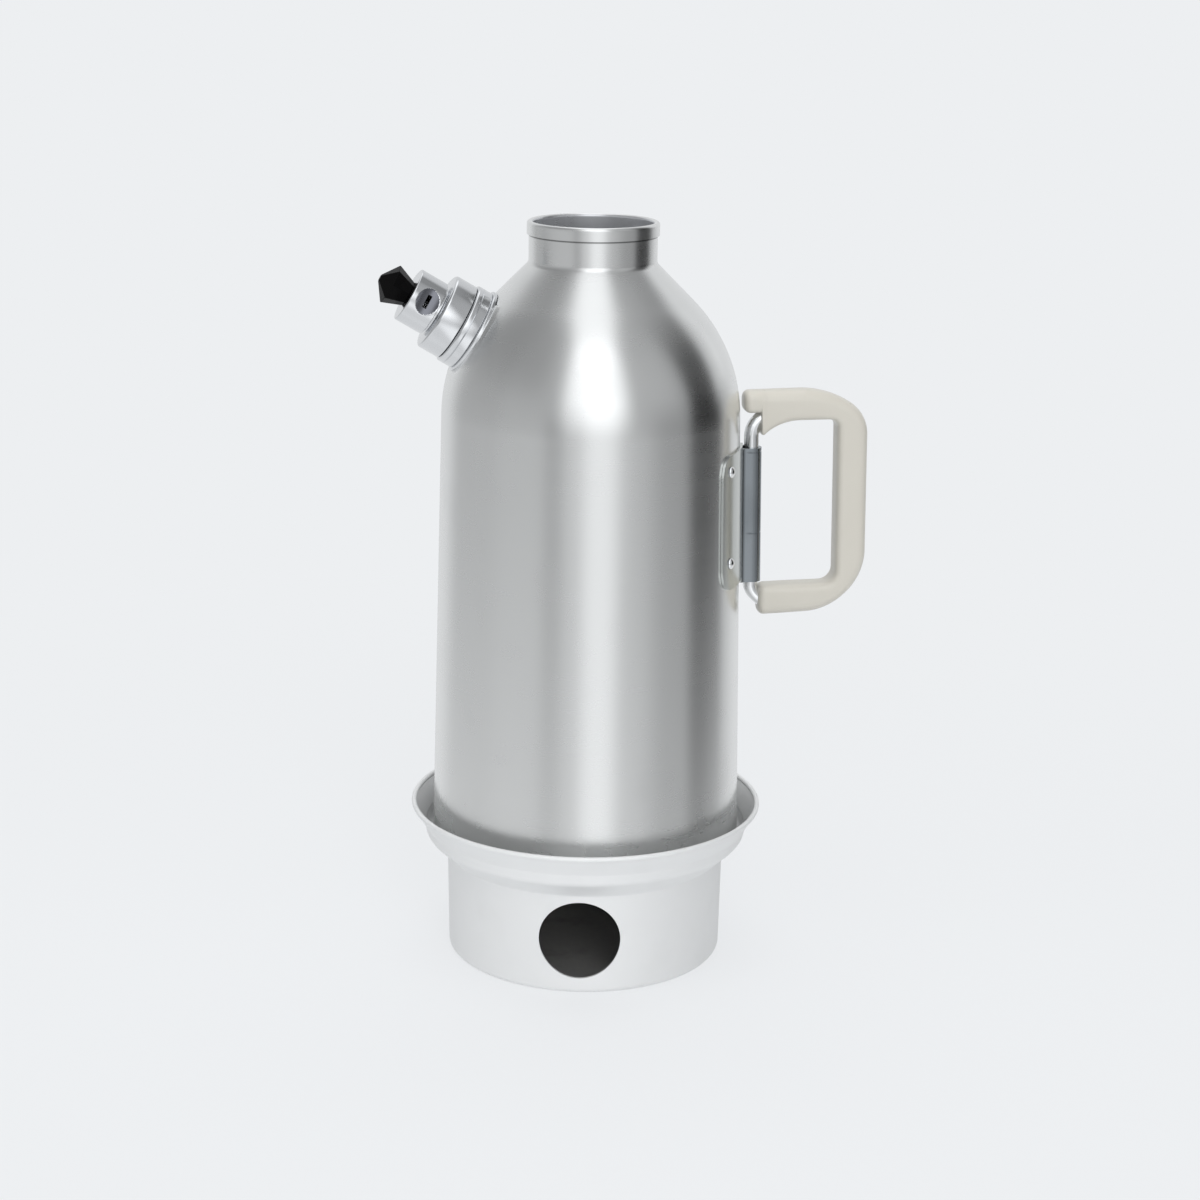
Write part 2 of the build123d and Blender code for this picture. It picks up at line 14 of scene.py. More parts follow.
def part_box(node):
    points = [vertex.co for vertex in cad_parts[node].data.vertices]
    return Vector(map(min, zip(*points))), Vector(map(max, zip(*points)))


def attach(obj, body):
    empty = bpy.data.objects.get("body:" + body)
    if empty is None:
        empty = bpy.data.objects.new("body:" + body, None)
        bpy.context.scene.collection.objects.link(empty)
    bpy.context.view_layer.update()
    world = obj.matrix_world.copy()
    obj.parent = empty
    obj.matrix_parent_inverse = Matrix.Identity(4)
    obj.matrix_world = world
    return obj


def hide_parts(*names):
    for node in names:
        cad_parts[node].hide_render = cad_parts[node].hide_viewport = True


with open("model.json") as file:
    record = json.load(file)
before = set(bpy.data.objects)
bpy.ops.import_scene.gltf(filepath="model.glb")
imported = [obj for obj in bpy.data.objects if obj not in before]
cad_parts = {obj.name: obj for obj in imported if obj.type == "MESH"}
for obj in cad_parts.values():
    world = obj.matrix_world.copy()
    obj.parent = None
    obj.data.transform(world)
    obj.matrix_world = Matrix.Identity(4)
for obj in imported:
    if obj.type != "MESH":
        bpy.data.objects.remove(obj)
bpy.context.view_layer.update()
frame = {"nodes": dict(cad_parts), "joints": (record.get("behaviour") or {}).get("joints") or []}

# Camping samovar: a double-walled aluminium bottle with a flue, standing in a loose fire base.
# Metres, +Z up, origin under the middle of the base. The bottle's own surfaces are worked out
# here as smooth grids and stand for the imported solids, whose places they take from the frame.

Array = np.ndarray
Point = tuple[float, float]
Colour = tuple[float, float, float]

log = logging.getLogger("samovar")

IMAGE_WIDTH = 1200.0
VIEW_AZIMUTH = math.radians(-98.0)
# Sizes that sub-assemblies share: the gap between fitted sheets, the shell's wall and the barrel.
FIT_GAP = 0.0001
SHELL_WALL = 0.0010
BARREL_LENGTH = 0.0644


# ---- outlines
def unit(vector: Array) -> Array:
    """Vectors of length one, along the last axis."""
    return vector / np.linalg.norm(vector, axis=-1, keepdims=True)


def full_turn(count: int, start: float = 0.0) -> Array:
    """Angles of equal steps that make one turn; angle zero is at the start's step."""
    return (np.arange(count) - start) * 2.0 * math.pi / count


def circle(radius: float, count: int) -> Array:
    """Points of a circle about zero, shape (count, 2)."""
    angles = full_turn(count)
    return np.stack([np.cos(angles), np.sin(angles)], axis=1) * radius


def smooth_step(value: Array, low: float, high: float) -> Array:
    """Ease from 0 at low to 1 at high: 3 t squared minus 2 t cubed."""
    share = np.clip((value - low) / (high - low), 0.0, 1.0)
    return share * share * (3.0 - 2.0 * share)


def rounded(corners: Sequence[Point], radii: Sequence[float], steps: int = 8) -> Array:
    """A line through corners, each inner one replaced by an arc tangent to both of its runs.

    The arc's middle lies on the corner's bisector, at the radius over the sine of half the
    angle between the runs.

    Args:
        corners: the corners as (radius, height) or (across, out) pairs.
        radii: one radius for each inner corner; 0 keeps it sharp.
        steps: straight pieces in each arc.

    Returns:
        The line's points, shape (n, 2).
    """
    points = np.asarray(corners, float)
    pieces = [points[:1]]
    for before, corner, after, radius in zip(points, points[1:], points[2:], radii):
        back, ahead = unit(before - corner), unit(after - corner)
        half = 0.5 * math.acos(float(np.clip(back @ ahead, -1.0, 1.0)))
        if radius <= 0.0 or half > 1.57:
            pieces.append(corner[None])
            continue
        middle = corner + unit(back + ahead) * radius / math.sin(half)
        start = corner + back * radius / math.tan(half) - middle
        end = corner + ahead * radius / math.tan(half) - middle
        first = math.atan2(start[1], start[0])
        sweep = math.remainder(math.atan2(end[1], end[0]) - first, 2.0 * math.pi)
        angles = first + sweep * np.linspace(0.0, 1.0, steps + 1)
        pieces.append(middle + radius * np.stack([np.cos(angles), np.sin(angles)], axis=1))
    pieces.append(points[-1:])
    return np.concatenate(pieces)


def lengths_along(line: Array) -> Array:
    """Length of the way from the line's first point to each of its points."""
    return np.concatenate([[0.0], np.cumsum(np.linalg.norm(np.diff(line, axis=0), axis=1))])


def at_lengths(line: Array, lengths: Array) -> Array:
    """Points of a line at the given lengths along it, between its own points in proportion."""
    along = lengths_along(line)
    return np.stack([np.interp(lengths, along, values) for values in line.T], axis=1)


def evened(line: Array, pitch: float) -> Array:
    """The same line with points added on its long runs, so that no run is over the pitch."""
    along = lengths_along(line)
    wanted = np.union1d(np.round(along, 9), np.round(np.arange(0.0, along[-1], pitch), 9))
    kept = np.concatenate([[True], np.diff(wanted) > 0.05 * pitch])
    kept |= np.isin(wanted, np.round(along, 9))
    return at_lengths(line, wanted[kept])


def nearest(values: Array, goal: float) -> int:
    """Which of the values is nearest to the goal."""
    return int(np.argmin(np.abs(values - goal)))


def thinned(line: Array, low: float, high: float) -> Array:
    """The line without every second point between two heights, for a run that is straight there."""
    spare = (line[:, 1] > low) & (line[:, 1] < high) & (np.arange(len(line)) % 2 == 1)
    return line[~spare]


def left_of(line: Array) -> Array:
    """Unit normals on the left of a plane line: its direction turned by a quarter turn."""
    direction = unit(np.gradient(line, axis=0))
    return np.stack([-direction[:, 1], direction[:, 0]], axis=1)


def sheet_sides(line: Array, wall: float) -> tuple[Array, Array]:
    """Right and left side of a sheet whose middle is the line, half a wall away each."""
    offset = left_of(line) * wall / 2.0
    offset[line[:, 0] < 1e-6, 0] = 0.0
    return line - offset, line + offset


# ---- meshes
@dataclass(frozen=True)
class Spindle:
    """An axis that pieces are turned about.

    Attributes:
        origin: the point at height zero.
        along: unit direction of the axis.
        zero: unit direction in which angle zero points.
    """

    origin: Array
    along: Array
    zero: Array

    @property
    def side(self) -> Array:
        """Unit direction in which a quarter turn points."""
        return np.cross(self.along, self.zero)

    def points(self, radius: Array, angle: Array, height: Array) -> Array:
        """Origin plus height along the axis plus radius in the direction of the angle."""
        radius, angle, height = np.broadcast_arrays(radius, angle, height)
        spoke = np.cos(angle)[..., None] * self.zero + np.sin(angle)[..., None] * self.side
        return self.origin + height[..., None] * self.along + radius[..., None] * spoke

    def turned(self, outline: Array, columns: int) -> Array:
        """Grid of an outline of (radius, height) carried round the axis, shape (n, columns, 3)."""
        return self.points(outline[:, :1], full_turn(columns)[None], outline[:, 1:])


@dataclass
class Form:
    """Points and four-cornered faces of one or more surfaces, before they become a mesh."""

    points: list[Array] = field(default_factory=list)
    faces: list[Array] = field(default_factory=list)
    count: int = 0

    def add(self, points: Array, faces: Array) -> "Form":
        """Append points, shape (n, 3), and faces that index them; this and the next return self."""
        self.points.append(points.reshape(-1, 3))
        self.faces.append(faces.reshape(-1, 4) + self.count)
        self.count += len(self.points[-1])
        return self

    def ring_solid(self, grid: Array) -> "Form":
        """Append a grid that closes on itself both ways, such as a closed outline turned."""
        return self.add(grid, quads(*grid.shape[:2], True, True))

    def walled(
        self, outer: Array, inner: Array, round_about: bool, open_cells: Array | None = None
    ) -> "Form":
        """Append a wall between two grids of the same shape, closed along all its edges.

        Every cell of the outer grid is a face, and the same cell of the inner grid is its back.
        Where a cell is open, or the grid ends, narrow faces join the two grids.

        Args:
            outer: points, shape (rows, columns, 3).
            inner: points of the same shape.
            round_about: whether the last column meets the first.
            open_cells: true for cells that are left out, shape (rows - 1, columns or columns - 1).
        """
        rows, columns = outer.shape[:2]
        index = grid_index(rows, columns, False, round_about)
        back = index + rows * columns
        cells, behind = cell_corners(index), cell_corners(back)[..., [0, 3, 2, 1]]
        gaps = np.zeros(cells.shape[:2], bool) if open_cells is None else open_cells
        faces = [cells[~gaps], behind[~gaps]]
        edge_rows = np.ones((rows + 1, gaps.shape[1]), bool)
        edge_rows[1:-1] = gaps
        crossed = edge_rows[1:] != edge_rows[:-1]
        rims = (index[:, :-1], index[:, 1:], back[:, 1:], back[:, :-1])
        faces.append(np.stack([rim[crossed] for rim in rims], axis=-1))
        ends = {"mode": "wrap"} if round_about else {"constant_values": True}
        beside = np.pad(gaps, ((0, 0), (1, 1)), **ends)
        crossed = beside[:, :-1] != beside[:, 1:]
        if round_about:
            crossed[:, -1] = False
        rims = (index[:-1], index[1:], back[1:], back[:-1])
        faces.append(np.stack([rim[crossed] for rim in rims], axis=-1))
        points = np.concatenate([outer.reshape(-1, 3), inner.reshape(-1, 3)])
        return self.add(points, np.concatenate(faces))

    def capped(self, grid: Array) -> "Form":
        """Append a tube whose rows are closed loops and whose first and last row are shut."""
        rows, columns = grid.shape[:2]
        middles = np.stack([grid[0].mean(axis=0), grid[-1].mean(axis=0)])
        closed = np.concatenate(
            [np.repeat(middles[:1, None], columns, 1), grid, np.repeat(middles[1:, None], columns, 1)]
        )
        return self.add(closed, quads(rows + 2, columns, False, True))

    def to_object(self, name: str, crease: float = 32.0) -> bpy.types.Object:
        """Make the mesh: weld its seams and poles, point its faces outwards and smooth it.

        Args:
            name: name of the object and its mesh.
            crease: edges sharper than this many degrees stay sharp.

        Returns:
            The new object, at the origin.
        """
        mesh = bpy.data.meshes.new(name)
        mesh.from_pydata(np.concatenate(self.points), [], np.concatenate(self.faces))
        work = bmesh.new()
        work.from_mesh(mesh)
        bmesh.ops.remove_doubles(work, verts=work.verts, dist=2e-6)
        bmesh.ops.dissolve_degenerate(work, edges=work.edges, dist=1e-7)
        loose = [vertex for vertex in work.verts if not vertex.link_faces]
        bmesh.ops.delete(work, geom=loose, context="VERTS")
        bmesh.ops.recalc_face_normals(work, faces=work.faces)
        work.to_mesh(mesh)
        work.free()
        mesh.shade_smooth()
        mesh.set_sharp_from_angle(angle=math.radians(crease))
        made = bpy.data.objects.new(name, mesh)
        bpy.context.scene.collection.objects.link(made)
        return made


def grid_index(rows: int, columns: int, close_rows: bool, close_columns: bool) -> Array:
    """Numbers of a grid's points; a direction that closes has its first ones again at its end."""
    index = np.arange(rows * columns).reshape(rows, columns)
    return np.pad(index, ((0, int(close_rows)), (0, int(close_columns))), mode="wrap")


def cell_corners(index: Array) -> Array:
    """The four corners of every cell in turn, shape (rows, columns, 4)."""
    return np.stack([index[:-1, :-1], index[:-1, 1:], index[1:, 1:], index[1:, :-1]], axis=-1)


def quads(rows: int, columns: int, close_rows: bool, close_columns: bool) -> Array:
    """Faces between neighbours on a grid, shape (cells, 4)."""
    return cell_corners(grid_index(rows, columns, close_rows, close_columns)).reshape(-1, 4)


def face_middles(piece: bpy.types.Object) -> Array:
    """Middle of every face of a piece, one row each."""
    middles = np.empty(len(piece.data.polygons) * 3)
    piece.data.polygons.foreach_get("center", middles)
    return middles.reshape(-1, 3)


@dataclass(frozen=True)
class RoundWindow:
    """A square block of grid cells that is bent so that its open middle becomes a circle.

    Attributes:
        row: the block's middle row.
        column: its middle column.
        reach: cells from the middle to the block's border.
        open_reach: cells from the middle to the circle's edge.
        radius: the circle's radius.
    """

    row: int
    column: int
    reach: int
    open_reach: int
    radius: float

    def block(self, reach: int, past: int = 1) -> tuple[slice, slice]:
        """Index of the points within a reach of the middle, or of the cells where past is 0."""
        return tuple(slice(at - reach, at + reach + past) for at in (self.row, self.column))

    def bent(self, across: Array, up: Array) -> tuple[Array, Array]:
        """New places of the block's points in a plane that looks through the circle.

        A point at square distance m from the middle lies between the circle, at the open
        reach, and the block's border in the same direction, which keeps its place.

        Args:
            across: plane coordinate of every grid point, with the circle's middle at 0.
            up: the other plane coordinate.

        Returns:
            The two coordinates of the whole grid, changed inside the block.
        """
        step = np.arange(2 * self.reach + 1) - self.reach
        rise, run = np.meshgrid(step, step, indexing="ij")
        square = np.maximum(np.abs(rise), np.abs(run)).clip(1)
        block = self.block(self.reach)
        border_row = rise * self.reach / square + self.reach
        border_run = run * self.reach / square + self.reach
        share = ((square - self.open_reach) / (self.reach - self.open_reach)).clip(0.0)
        spoke = np.hypot(rise, run).clip(1e-9)
        moved = []
        for values, direction in ((across, run), (up, rise)):
            changed = values.copy()
            border = bilinear(values[block], border_row, border_run)
            open_edge = self.radius * direction / spoke
            changed[block] = open_edge + (border - open_edge) * share
            moved.append(changed)
        return moved[0], moved[1]

    def open_cells(self, rows: int, columns: int) -> Array:
        """True for the cells inside the circle, shape (rows, columns)."""
        cells = np.zeros((rows, columns), bool)
        cells[self.block(self.open_reach, 0)] = True
        return cells


def bilinear(values: Array, row: Array, column: Array) -> Array:
    """Values of a grid at fractional rows and columns, in proportion between four points."""
    low_row = np.floor(row).astype(int).clip(0, values.shape[0] - 2)
    low_column = np.floor(column).astype(int).clip(0, values.shape[1] - 2)
    down, right = row - low_row, column - low_column
    top = values[low_row, low_column] * (1 - right) + values[low_row, low_column + 1] * right
    foot = values[low_row + 1, low_column] * (1 - right) + values[low_row + 1, low_column + 1] * right
    return top * (1 - down) + foot * down


def swept(path: Array, across: Array, section: Array) -> Array:
    """A closed section carried along a plane path, shape (path, section, 3).

    Args:
        path: points of the path, shape (n, 3).
        across: the unit normal of the path's plane, which is the section's second direction.
        section: the section's points as (out, across) pairs, shape (m, 2) or (n, m, 2).
    """
    forward = unit(np.gradient(path, axis=0))
    outward = np.cross(forward, across)
    section = np.broadcast_to(section, (len(path),) + section.shape[-2:])
    return path[:, None] + section[..., :1] * outward[:, None] + section[..., 1:] * across


# ---- shader maths
class Value:
    """An output of a shader node that can be used in arithmetic."""

    def __init__(self, graph: "Graph", socket: bpy.types.NodeSocket) -> None:
        """Keep the graph that the socket belongs to."""
        self.graph = graph
        self.socket = socket

    def maths(self, operation: str, first: Any, second: Any = 0.0, third: Any = 0.0) -> "Value":
        """A Math node on up to three values or numbers."""
        return self.graph.node("ShaderNodeMath", {"operation": operation}, {0: first, 1: second, 2: third})

    def __add__(self, other: Any) -> "Value":
        """Sum."""
        return self.maths("ADD", self, other)

    __radd__ = __add__

    def __sub__(self, other: Any) -> "Value":
        """Difference."""
        return self.maths("SUBTRACT", self, other)

    def __rsub__(self, other: Any) -> "Value":
        """Difference from a number."""
        return self.maths("SUBTRACT", other, self)

    def __mul__(self, other: Any) -> "Value":
        """Product."""
        return self.maths("MULTIPLY", self, other)

    __rmul__ = __mul__

    def __truediv__(self, other: Any) -> "Value":
        """Quotient."""
        return self.maths("DIVIDE", self, other)

    def __pow__(self, other: Any) -> "Value":
        """Power."""
        return self.maths("POWER", self, other)

    def __abs__(self) -> "Value":
        """Distance from zero."""
        return self.maths("ABSOLUTE", self)

    def positive(self) -> "Value":
        """The value, or zero where it is below zero."""
        return self.maths("MAXIMUM", self, 0.0)

    def clamped(self) -> "Value":
        """The value kept between 0 and 1."""
        return self.maths("MINIMUM", self.positive(), 1.0)

    def eased(self, low: float, high: float) -> "Value":
        """Smooth step from 0 at low to 1 at high."""
        return self.graph.node(
            "ShaderNodeMapRange",
            {"interpolation_type": "SMOOTHSTEP"},
            {"Value": self, "From Min": low, "From Max": high},
        )


class Graph:
    """The node tree of a material or world, with one method that adds any node."""

    def __init__(self, owner: bpy.types.Material | bpy.types.World) -> None:
        """Empty the owner's tree."""
        owner.use_nodes = True
        self.tree = owner.node_tree
        self.tree.nodes.clear()

    def node(
        self,
        kind: str,
        settings: dict[str, Any] | None = None,
        sockets: dict[Any, Any] | None = None,
        output: int | str = 0,
    ) -> Value:
        """Add a node.

        Args:
            kind: the node's type.
            settings: its properties, set first.
            sockets: a value, or a number or colour, for each input named or numbered.
            output: which output to return.

        Returns:
            The chosen output.
        """
        made = self.tree.nodes.new(kind)
        for name, setting in (settings or {}).items():
            setattr(made, name, setting)
        for name, value in (sockets or {}).items():
            if isinstance(value, Value):
                self.tree.links.new(value.socket, made.inputs[name])
            else:
                made.inputs[name].default_value = value
        return Value(self, made.outputs[output]) if made.outputs else Value(self, None)

    def parts(self, place: Value) -> list[Value]:
        """The x, y and z of a place or direction."""
        return [self.node("ShaderNodeSeparateXYZ", None, {0: place}, axis) for axis in range(3)]

    def axes(self, axis: Spindle | None = None) -> list[Value]:
        """Object coordinates x, y and z; with an axis, from its origin and z along it."""
        place = self.node("ShaderNodeTexCoord", output="Object")
        if axis is not None:
            turn = Vector((0, 0, 1)).rotation_difference(Vector(axis.along))
            place = self.node(
                "ShaderNodeMapping",
                {"vector_type": "TEXTURE"},
                {"Vector": place, "Location": tuple(axis.origin), "Rotation": turn.to_euler()},
            )
        return self.parts(place)

    def ray(self, kind: str) -> Value:
        """One where a ray is of the kind, such as "Is Camera Ray", and zero elsewhere."""
        return self.node("ShaderNodeLightPath", output=kind)

    def noise(self, x: Any, y: Any, z: Any, detail: float = 2.0, roughness: float = 0.5) -> Value:
        """Noise between 0 and 1 at a place made of three values, one step of it a unit wide."""
        place = self.node("ShaderNodeCombineXYZ", None, {0: x, 1: y, 2: z})
        return self.node(
            "ShaderNodeTexNoise",
            {"normalize": True},
            {"Vector": place, "Scale": 1.0, "Detail": detail, "Roughness": roughness},
        )

    def tint(self, factor: Any, low: Colour | Value, high: Colour | Value) -> Value:
        """Colour between low and high, each a plain colour or the output of a node."""
        first, second = [end if isinstance(end, Value) else (*end, 1.0) for end in (low, high)]
        return self.node("ShaderNodeMix", {"data_type": "RGBA"}, {0: factor, 6: first, 7: second}, 2)

    def bump(self, height: Value, distance: float, strength: float = 1.0) -> Value:
        """Normal bent by a height, in metres when the distance is the height's full size."""
        sockets = {"Strength": strength, "Distance": distance, "Height": height}
        return self.node("ShaderNodeBump", None, sockets)

    def surface(self, sockets: dict[str, Any]) -> None:
        """Finish the tree with a Principled shader."""
        shader = self.node("ShaderNodeBsdfPrincipled", None, sockets)
        self.node("ShaderNodeOutputMaterial", None, {"Surface": shader})


# ---- finishes
@dataclass(frozen=True)
class Grain:
    """A kind of noise.

    Attributes:
        steps: its steps in a metre along x, y and z.
        detail: octaves above the first.
        roughness: weight of each further octave.
        shift: steps that it is moved along x.
    """

    steps: tuple[float, float, float]
    detail: float
    roughness: float = 0.5
    shift: float = 0.0

    def on(self, graph: Graph, place: Sequence[Value]) -> Value:
        """The noise at a place, between 0 and 1."""
        x, y, z = [part * step for part, step in zip(place, self.steps)]
        return graph.noise(x + self.shift if self.shift else x, y, z, self.detail, self.roughness)


CLOUDS = Grain((22.0, 22.0, 14.0), 4.0, 0.55)
STAINS = Grain((38.0, 38.0, 26.0), 3.0, 0.55, 7.0)
SCRATCHED_PLACES = Grain((35.0, 35.0, 35.0), 2.0, 0.5, 3.0)
MOTTLE = Grain((60.0, 60.0, 60.0), 4.0, 0.6)
ORANGE_PEEL = Grain((900.0, 900.0, 900.0), 2.0)
WAVES = Grain((130.0, 130.0, 130.0), 1.0)
WEAR = Grain((240.0, 240.0, 60.0), 3.0, 0.7)
# Colour of the painted shade in a seam's gap.
SEAM_SHADE_COLOUR = (0.05, 0.05, 0.05)


class Lay(Enum):
    """Which way a metal's fine lines run."""

    TURNED = "round the piece's axis"
    DRAWN = "along the piece's axis"
    NONE = "no lines"


@dataclass(frozen=True)
class Metal:
    """A bare metal with machining lines, a cloudy surface and light scratches.

    Attributes:
        name: the material's name.
        colour: reflected colour.
        roughness: mean roughness.
        lay: which way its fine lines run.
        line_pitch: distance between fine lines.
        line_depth: depth of the fine lines.
        cloud: how much the roughness drifts from place to place.
        dirt: how much darker the stained patches are.
        scratch: strength of the scratches.
        anisotropy: how far highlights are drawn out across the lines.
        metallic: 1 for bare metal, less where a pale oxide skin scatters the light.
        seams: heights along the axis where a fine dark line of painted shade sits in a seam.
        axis: the piece's axis, or none for the bottle's own.
    """

    name: str
    colour: Colour
    roughness: float
    lay: Lay = Lay.TURNED
    line_pitch: float = 0.0005
    line_depth: float = 0.000004
    cloud: float = 0.05
    dirt: float = 0.1
    scratch: float = 0.3
    anisotropy: float = 0.0
    metallic: float = 1.0
    seams: tuple[float, ...] = ()
    axis: Spindle | None = None

    def material(self) -> bpy.types.Material:
        """Build the material: lines, clouds, stains and scratches on Object coordinates."""
        made = bpy.data.materials.new(self.name)
        graph = Graph(made)
        place = x, y, z = graph.axes(self.axis)
        radius = (x * x + y * y) ** 0.5
        fine, slow = 1.0 / self.line_pitch, 9.0
        if self.lay is Lay.TURNED:
            lines = graph.noise(radius * fine, x * slow + y * slow, z * fine, 2.0, 0.6)
            bands = graph.noise(radius * fine * 0.11, x * slow, z * fine * 0.11 + y * slow, 3.0, 0.65)
        else:
            lines = graph.noise(x * fine, y * fine, z * slow * 2.0, 2.0, 0.6)
            bands = graph.noise(x * fine * 0.15, y * fine * 0.15, z * slow, 3.0, 0.65)
        clouds = CLOUDS.on(graph, place)
        stains = STAINS.on(graph, place).eased(0.52, 0.78)
        scratches = self.scratches(graph, x, y, z)
        dark = tuple(channel * (1.0 - self.dirt) for channel in self.colour)
        base = graph.tint((stains * 0.8 + bands * 0.25 + scratches * 0.15).clamped(), self.colour, dark)
        # Painted shade: a fine dark line at each seam height, for the shade in the gap there.
        if self.seams:
            grime_and_seam_shade = sum((1.0 - abs(z - seam).eased(0.0001, 0.0006)) for seam in self.seams)
            base = graph.tint(grime_and_seam_shade * 0.75, base, SEAM_SHADE_COLOUR)
        rough = (
            self.roughness
            + (clouds - 0.5) * (2.0 * self.cloud)
            + (bands - 0.5) * (1.2 * self.cloud)
            + stains * (0.8 * self.cloud)
            + scratches * (0.2 * self.scratch)
        )
        relief = lines * (0.0 if self.lay is Lay.NONE else 1.0) + bands * 0.8 - scratches * self.scratch
        graph.surface(
            {
                "Base Color": base,
                "Metallic": self.metallic,
                "Roughness": rough.clamped(),
                "Anisotropic": self.anisotropy,
                "Anisotropic Rotation": 0.25,
                "Normal": graph.bump(relief, self.line_depth),
            }
        )
        return made

    def scratches(self, graph: Graph, x: Value, y: Value, z: Value) -> Value:
        """Thin short strokes in two directions, where stretched cells of noise cross one level."""
        strokes = graph.noise(x * 90.0 + z * 260.0, y * 90.0 - z * 190.0, z * 30.0 + x * 20.0, 0.0)
        others = graph.noise(x * 160.0 - z * 420.0, y * 160.0 + z * 330.0, z * 24.0 - y * 26.0, 0.0)
        places = SCRATCHED_PLACES.on(graph, (x, y, z)).eased(0.55, 0.7)
        thin = 1.0 - abs(strokes - 0.5).eased(0.0, 0.006)
        faint = 1.0 - abs(others - 0.47).eased(0.0, 0.004)
        return ((thin + faint * 0.7) * places).clamped()


@dataclass(frozen=True)
class Moulded:
    """A moulded plastic or rubber with a faint orange-peel skin.

    Attributes:
        name: the material's name.
        colour: main colour.
        shade: colour of the slightly darker patches.
        roughness: mean roughness.
        gloss: strength of the reflection straight on, 0.5 for common plastic.
        coat: weight of the glossy skin.
        skin: depth of the moulding's unevenness.
        grime_and_seam_shade: how far hollow and handled places are dulled.
    """

    name: str
    colour: Colour
    shade: Colour
    roughness: float
    gloss: float = 0.5
    coat: float = 0.0
    skin: float = 0.00002
    grime_and_seam_shade: float = 0.1

    def material(self) -> bpy.types.Material:
        """Build the material: mottled colour, patchy gloss and a fine uneven skin."""
        made = bpy.data.materials.new(self.name)
        graph = Graph(made)
        place = graph.axes()
        patches, peel, waves, wear = [grain.on(graph, place) for grain in (MOTTLE, ORANGE_PEEL, WAVES, WEAR)]
        worn = wear.eased(0.58, 0.75)
        shaded = (patches * 0.7 + worn * self.grime_and_seam_shade).clamped()
        graph.surface(
            {
                "Base Color": graph.tint(shaded, self.colour, self.shade),
                "Roughness": (self.roughness + (patches - 0.5) * 0.12 + worn * 0.08).clamped(),
                "Specular IOR Level": self.gloss,
                "Coat Weight": self.coat,
                "Coat Roughness": 0.12,
                "Normal": graph.bump(peel * 0.35 + waves, self.skin),
            }
        )
        return made


def joint_line(name: str) -> tuple[Array, Array]:
    """A joint's point and its unit direction."""
    joint = next(joint for joint in frame["joints"] if joint["name"] == name)
    return np.array(joint["pos_m"]), unit(np.array(joint["axis"]))


# The bottle's own axis; the spout's, from its seat on the shoulder, with angle zero on the air
# hole's side; and the handle's pin, with angle zero away from the bottle.
UPRIGHT = Spindle(np.zeros(3), np.array([0.0, 0.0, 1.0]), np.array([1.0, 0.0, 0.0]))
SPOUT = Spindle(*joint_line("cap_unscrew"), np.array([0.0, -1.0, 0.0]))
PIN, PIN_ALONG = joint_line("handle_swing")
HINGE = Spindle(PIN, PIN_ALONG, unit(np.cross([0.0, 1.0, 0.0], PIN_ALONG)))

# Its seam line at 0.3436 m, under the hem's lower edge, is painted shade.
SATIN_ALUMINIUM = Metal(
    "satin_aluminium", (0.80, 0.805, 0.80), 0.27, line_pitch=0.0006, line_depth=0.0000004,
    cloud=0.025, dirt=0.04, scratch=0.03, anisotropy=0.5, seams=(0.3436,),
)
INNER_ALUMINIUM = Metal(
    "flue_aluminium", (0.78, 0.785, 0.79), 0.26, line_pitch=0.0008, cloud=0.05, dirt=0.2,
)
MATTE_ALUMINIUM = Metal(
    "matte_aluminium", (0.80, 0.805, 0.805), 0.55, line_pitch=0.0009, line_depth=0.000003,
    cloud=0.04, dirt=0.03, scratch=0.1, metallic=0.3,
)
# Painted shade: a darker, more metallic copy of the base's aluminium for the shaded inside of its bowl.
SHADED_BOWL_ALUMINIUM = Metal(
    "shaded_bowl_aluminium", (0.70, 0.705, 0.705), 0.42, line_pitch=0.0009, cloud=0.05, dirt=0.05, metallic=0.6,
)
BURNT_ALUMINIUM = Metal(
    "burnt_aluminium", (0.36, 0.355, 0.35), 0.6, lay=Lay.NONE, cloud=0.08, dirt=0.5, scratch=0.1,
    metallic=0.5,
)
POLISHED_ALUMINIUM = Metal(
    "polished_aluminium", (0.71, 0.72, 0.735), 0.15, line_pitch=0.0004, line_depth=0.000002,
    cloud=0.03, dirt=0.06, axis=SPOUT,
)
# Painted shade: a dark bluish copy of the spout's aluminium for the whistle's dimple and slot walls.
SHADED_DIMPLE_ALUMINIUM = Metal(
    "shaded_dimple_aluminium", (0.20, 0.205, 0.23), 0.26, line_pitch=0.0003, cloud=0.05, dirt=0.2, axis=SPOUT,
)
# Painted light: a bluish, partly diffuse copy of the aluminium, which lightens the shaded inside of the
# flue.
LIT_THROAT_ALUMINIUM = Metal(
    "lit_throat_aluminium", (0.64, 0.65, 0.67), 0.27, line_pitch=0.0009, cloud=0.05, dirt=0.05, metallic=0.75,
)
BRIGHT_STEEL = Metal(
    "bright_steel", (0.90, 0.91, 0.92), 0.17, lay=Lay.DRAWN, cloud=0.03, dirt=0.12,
)
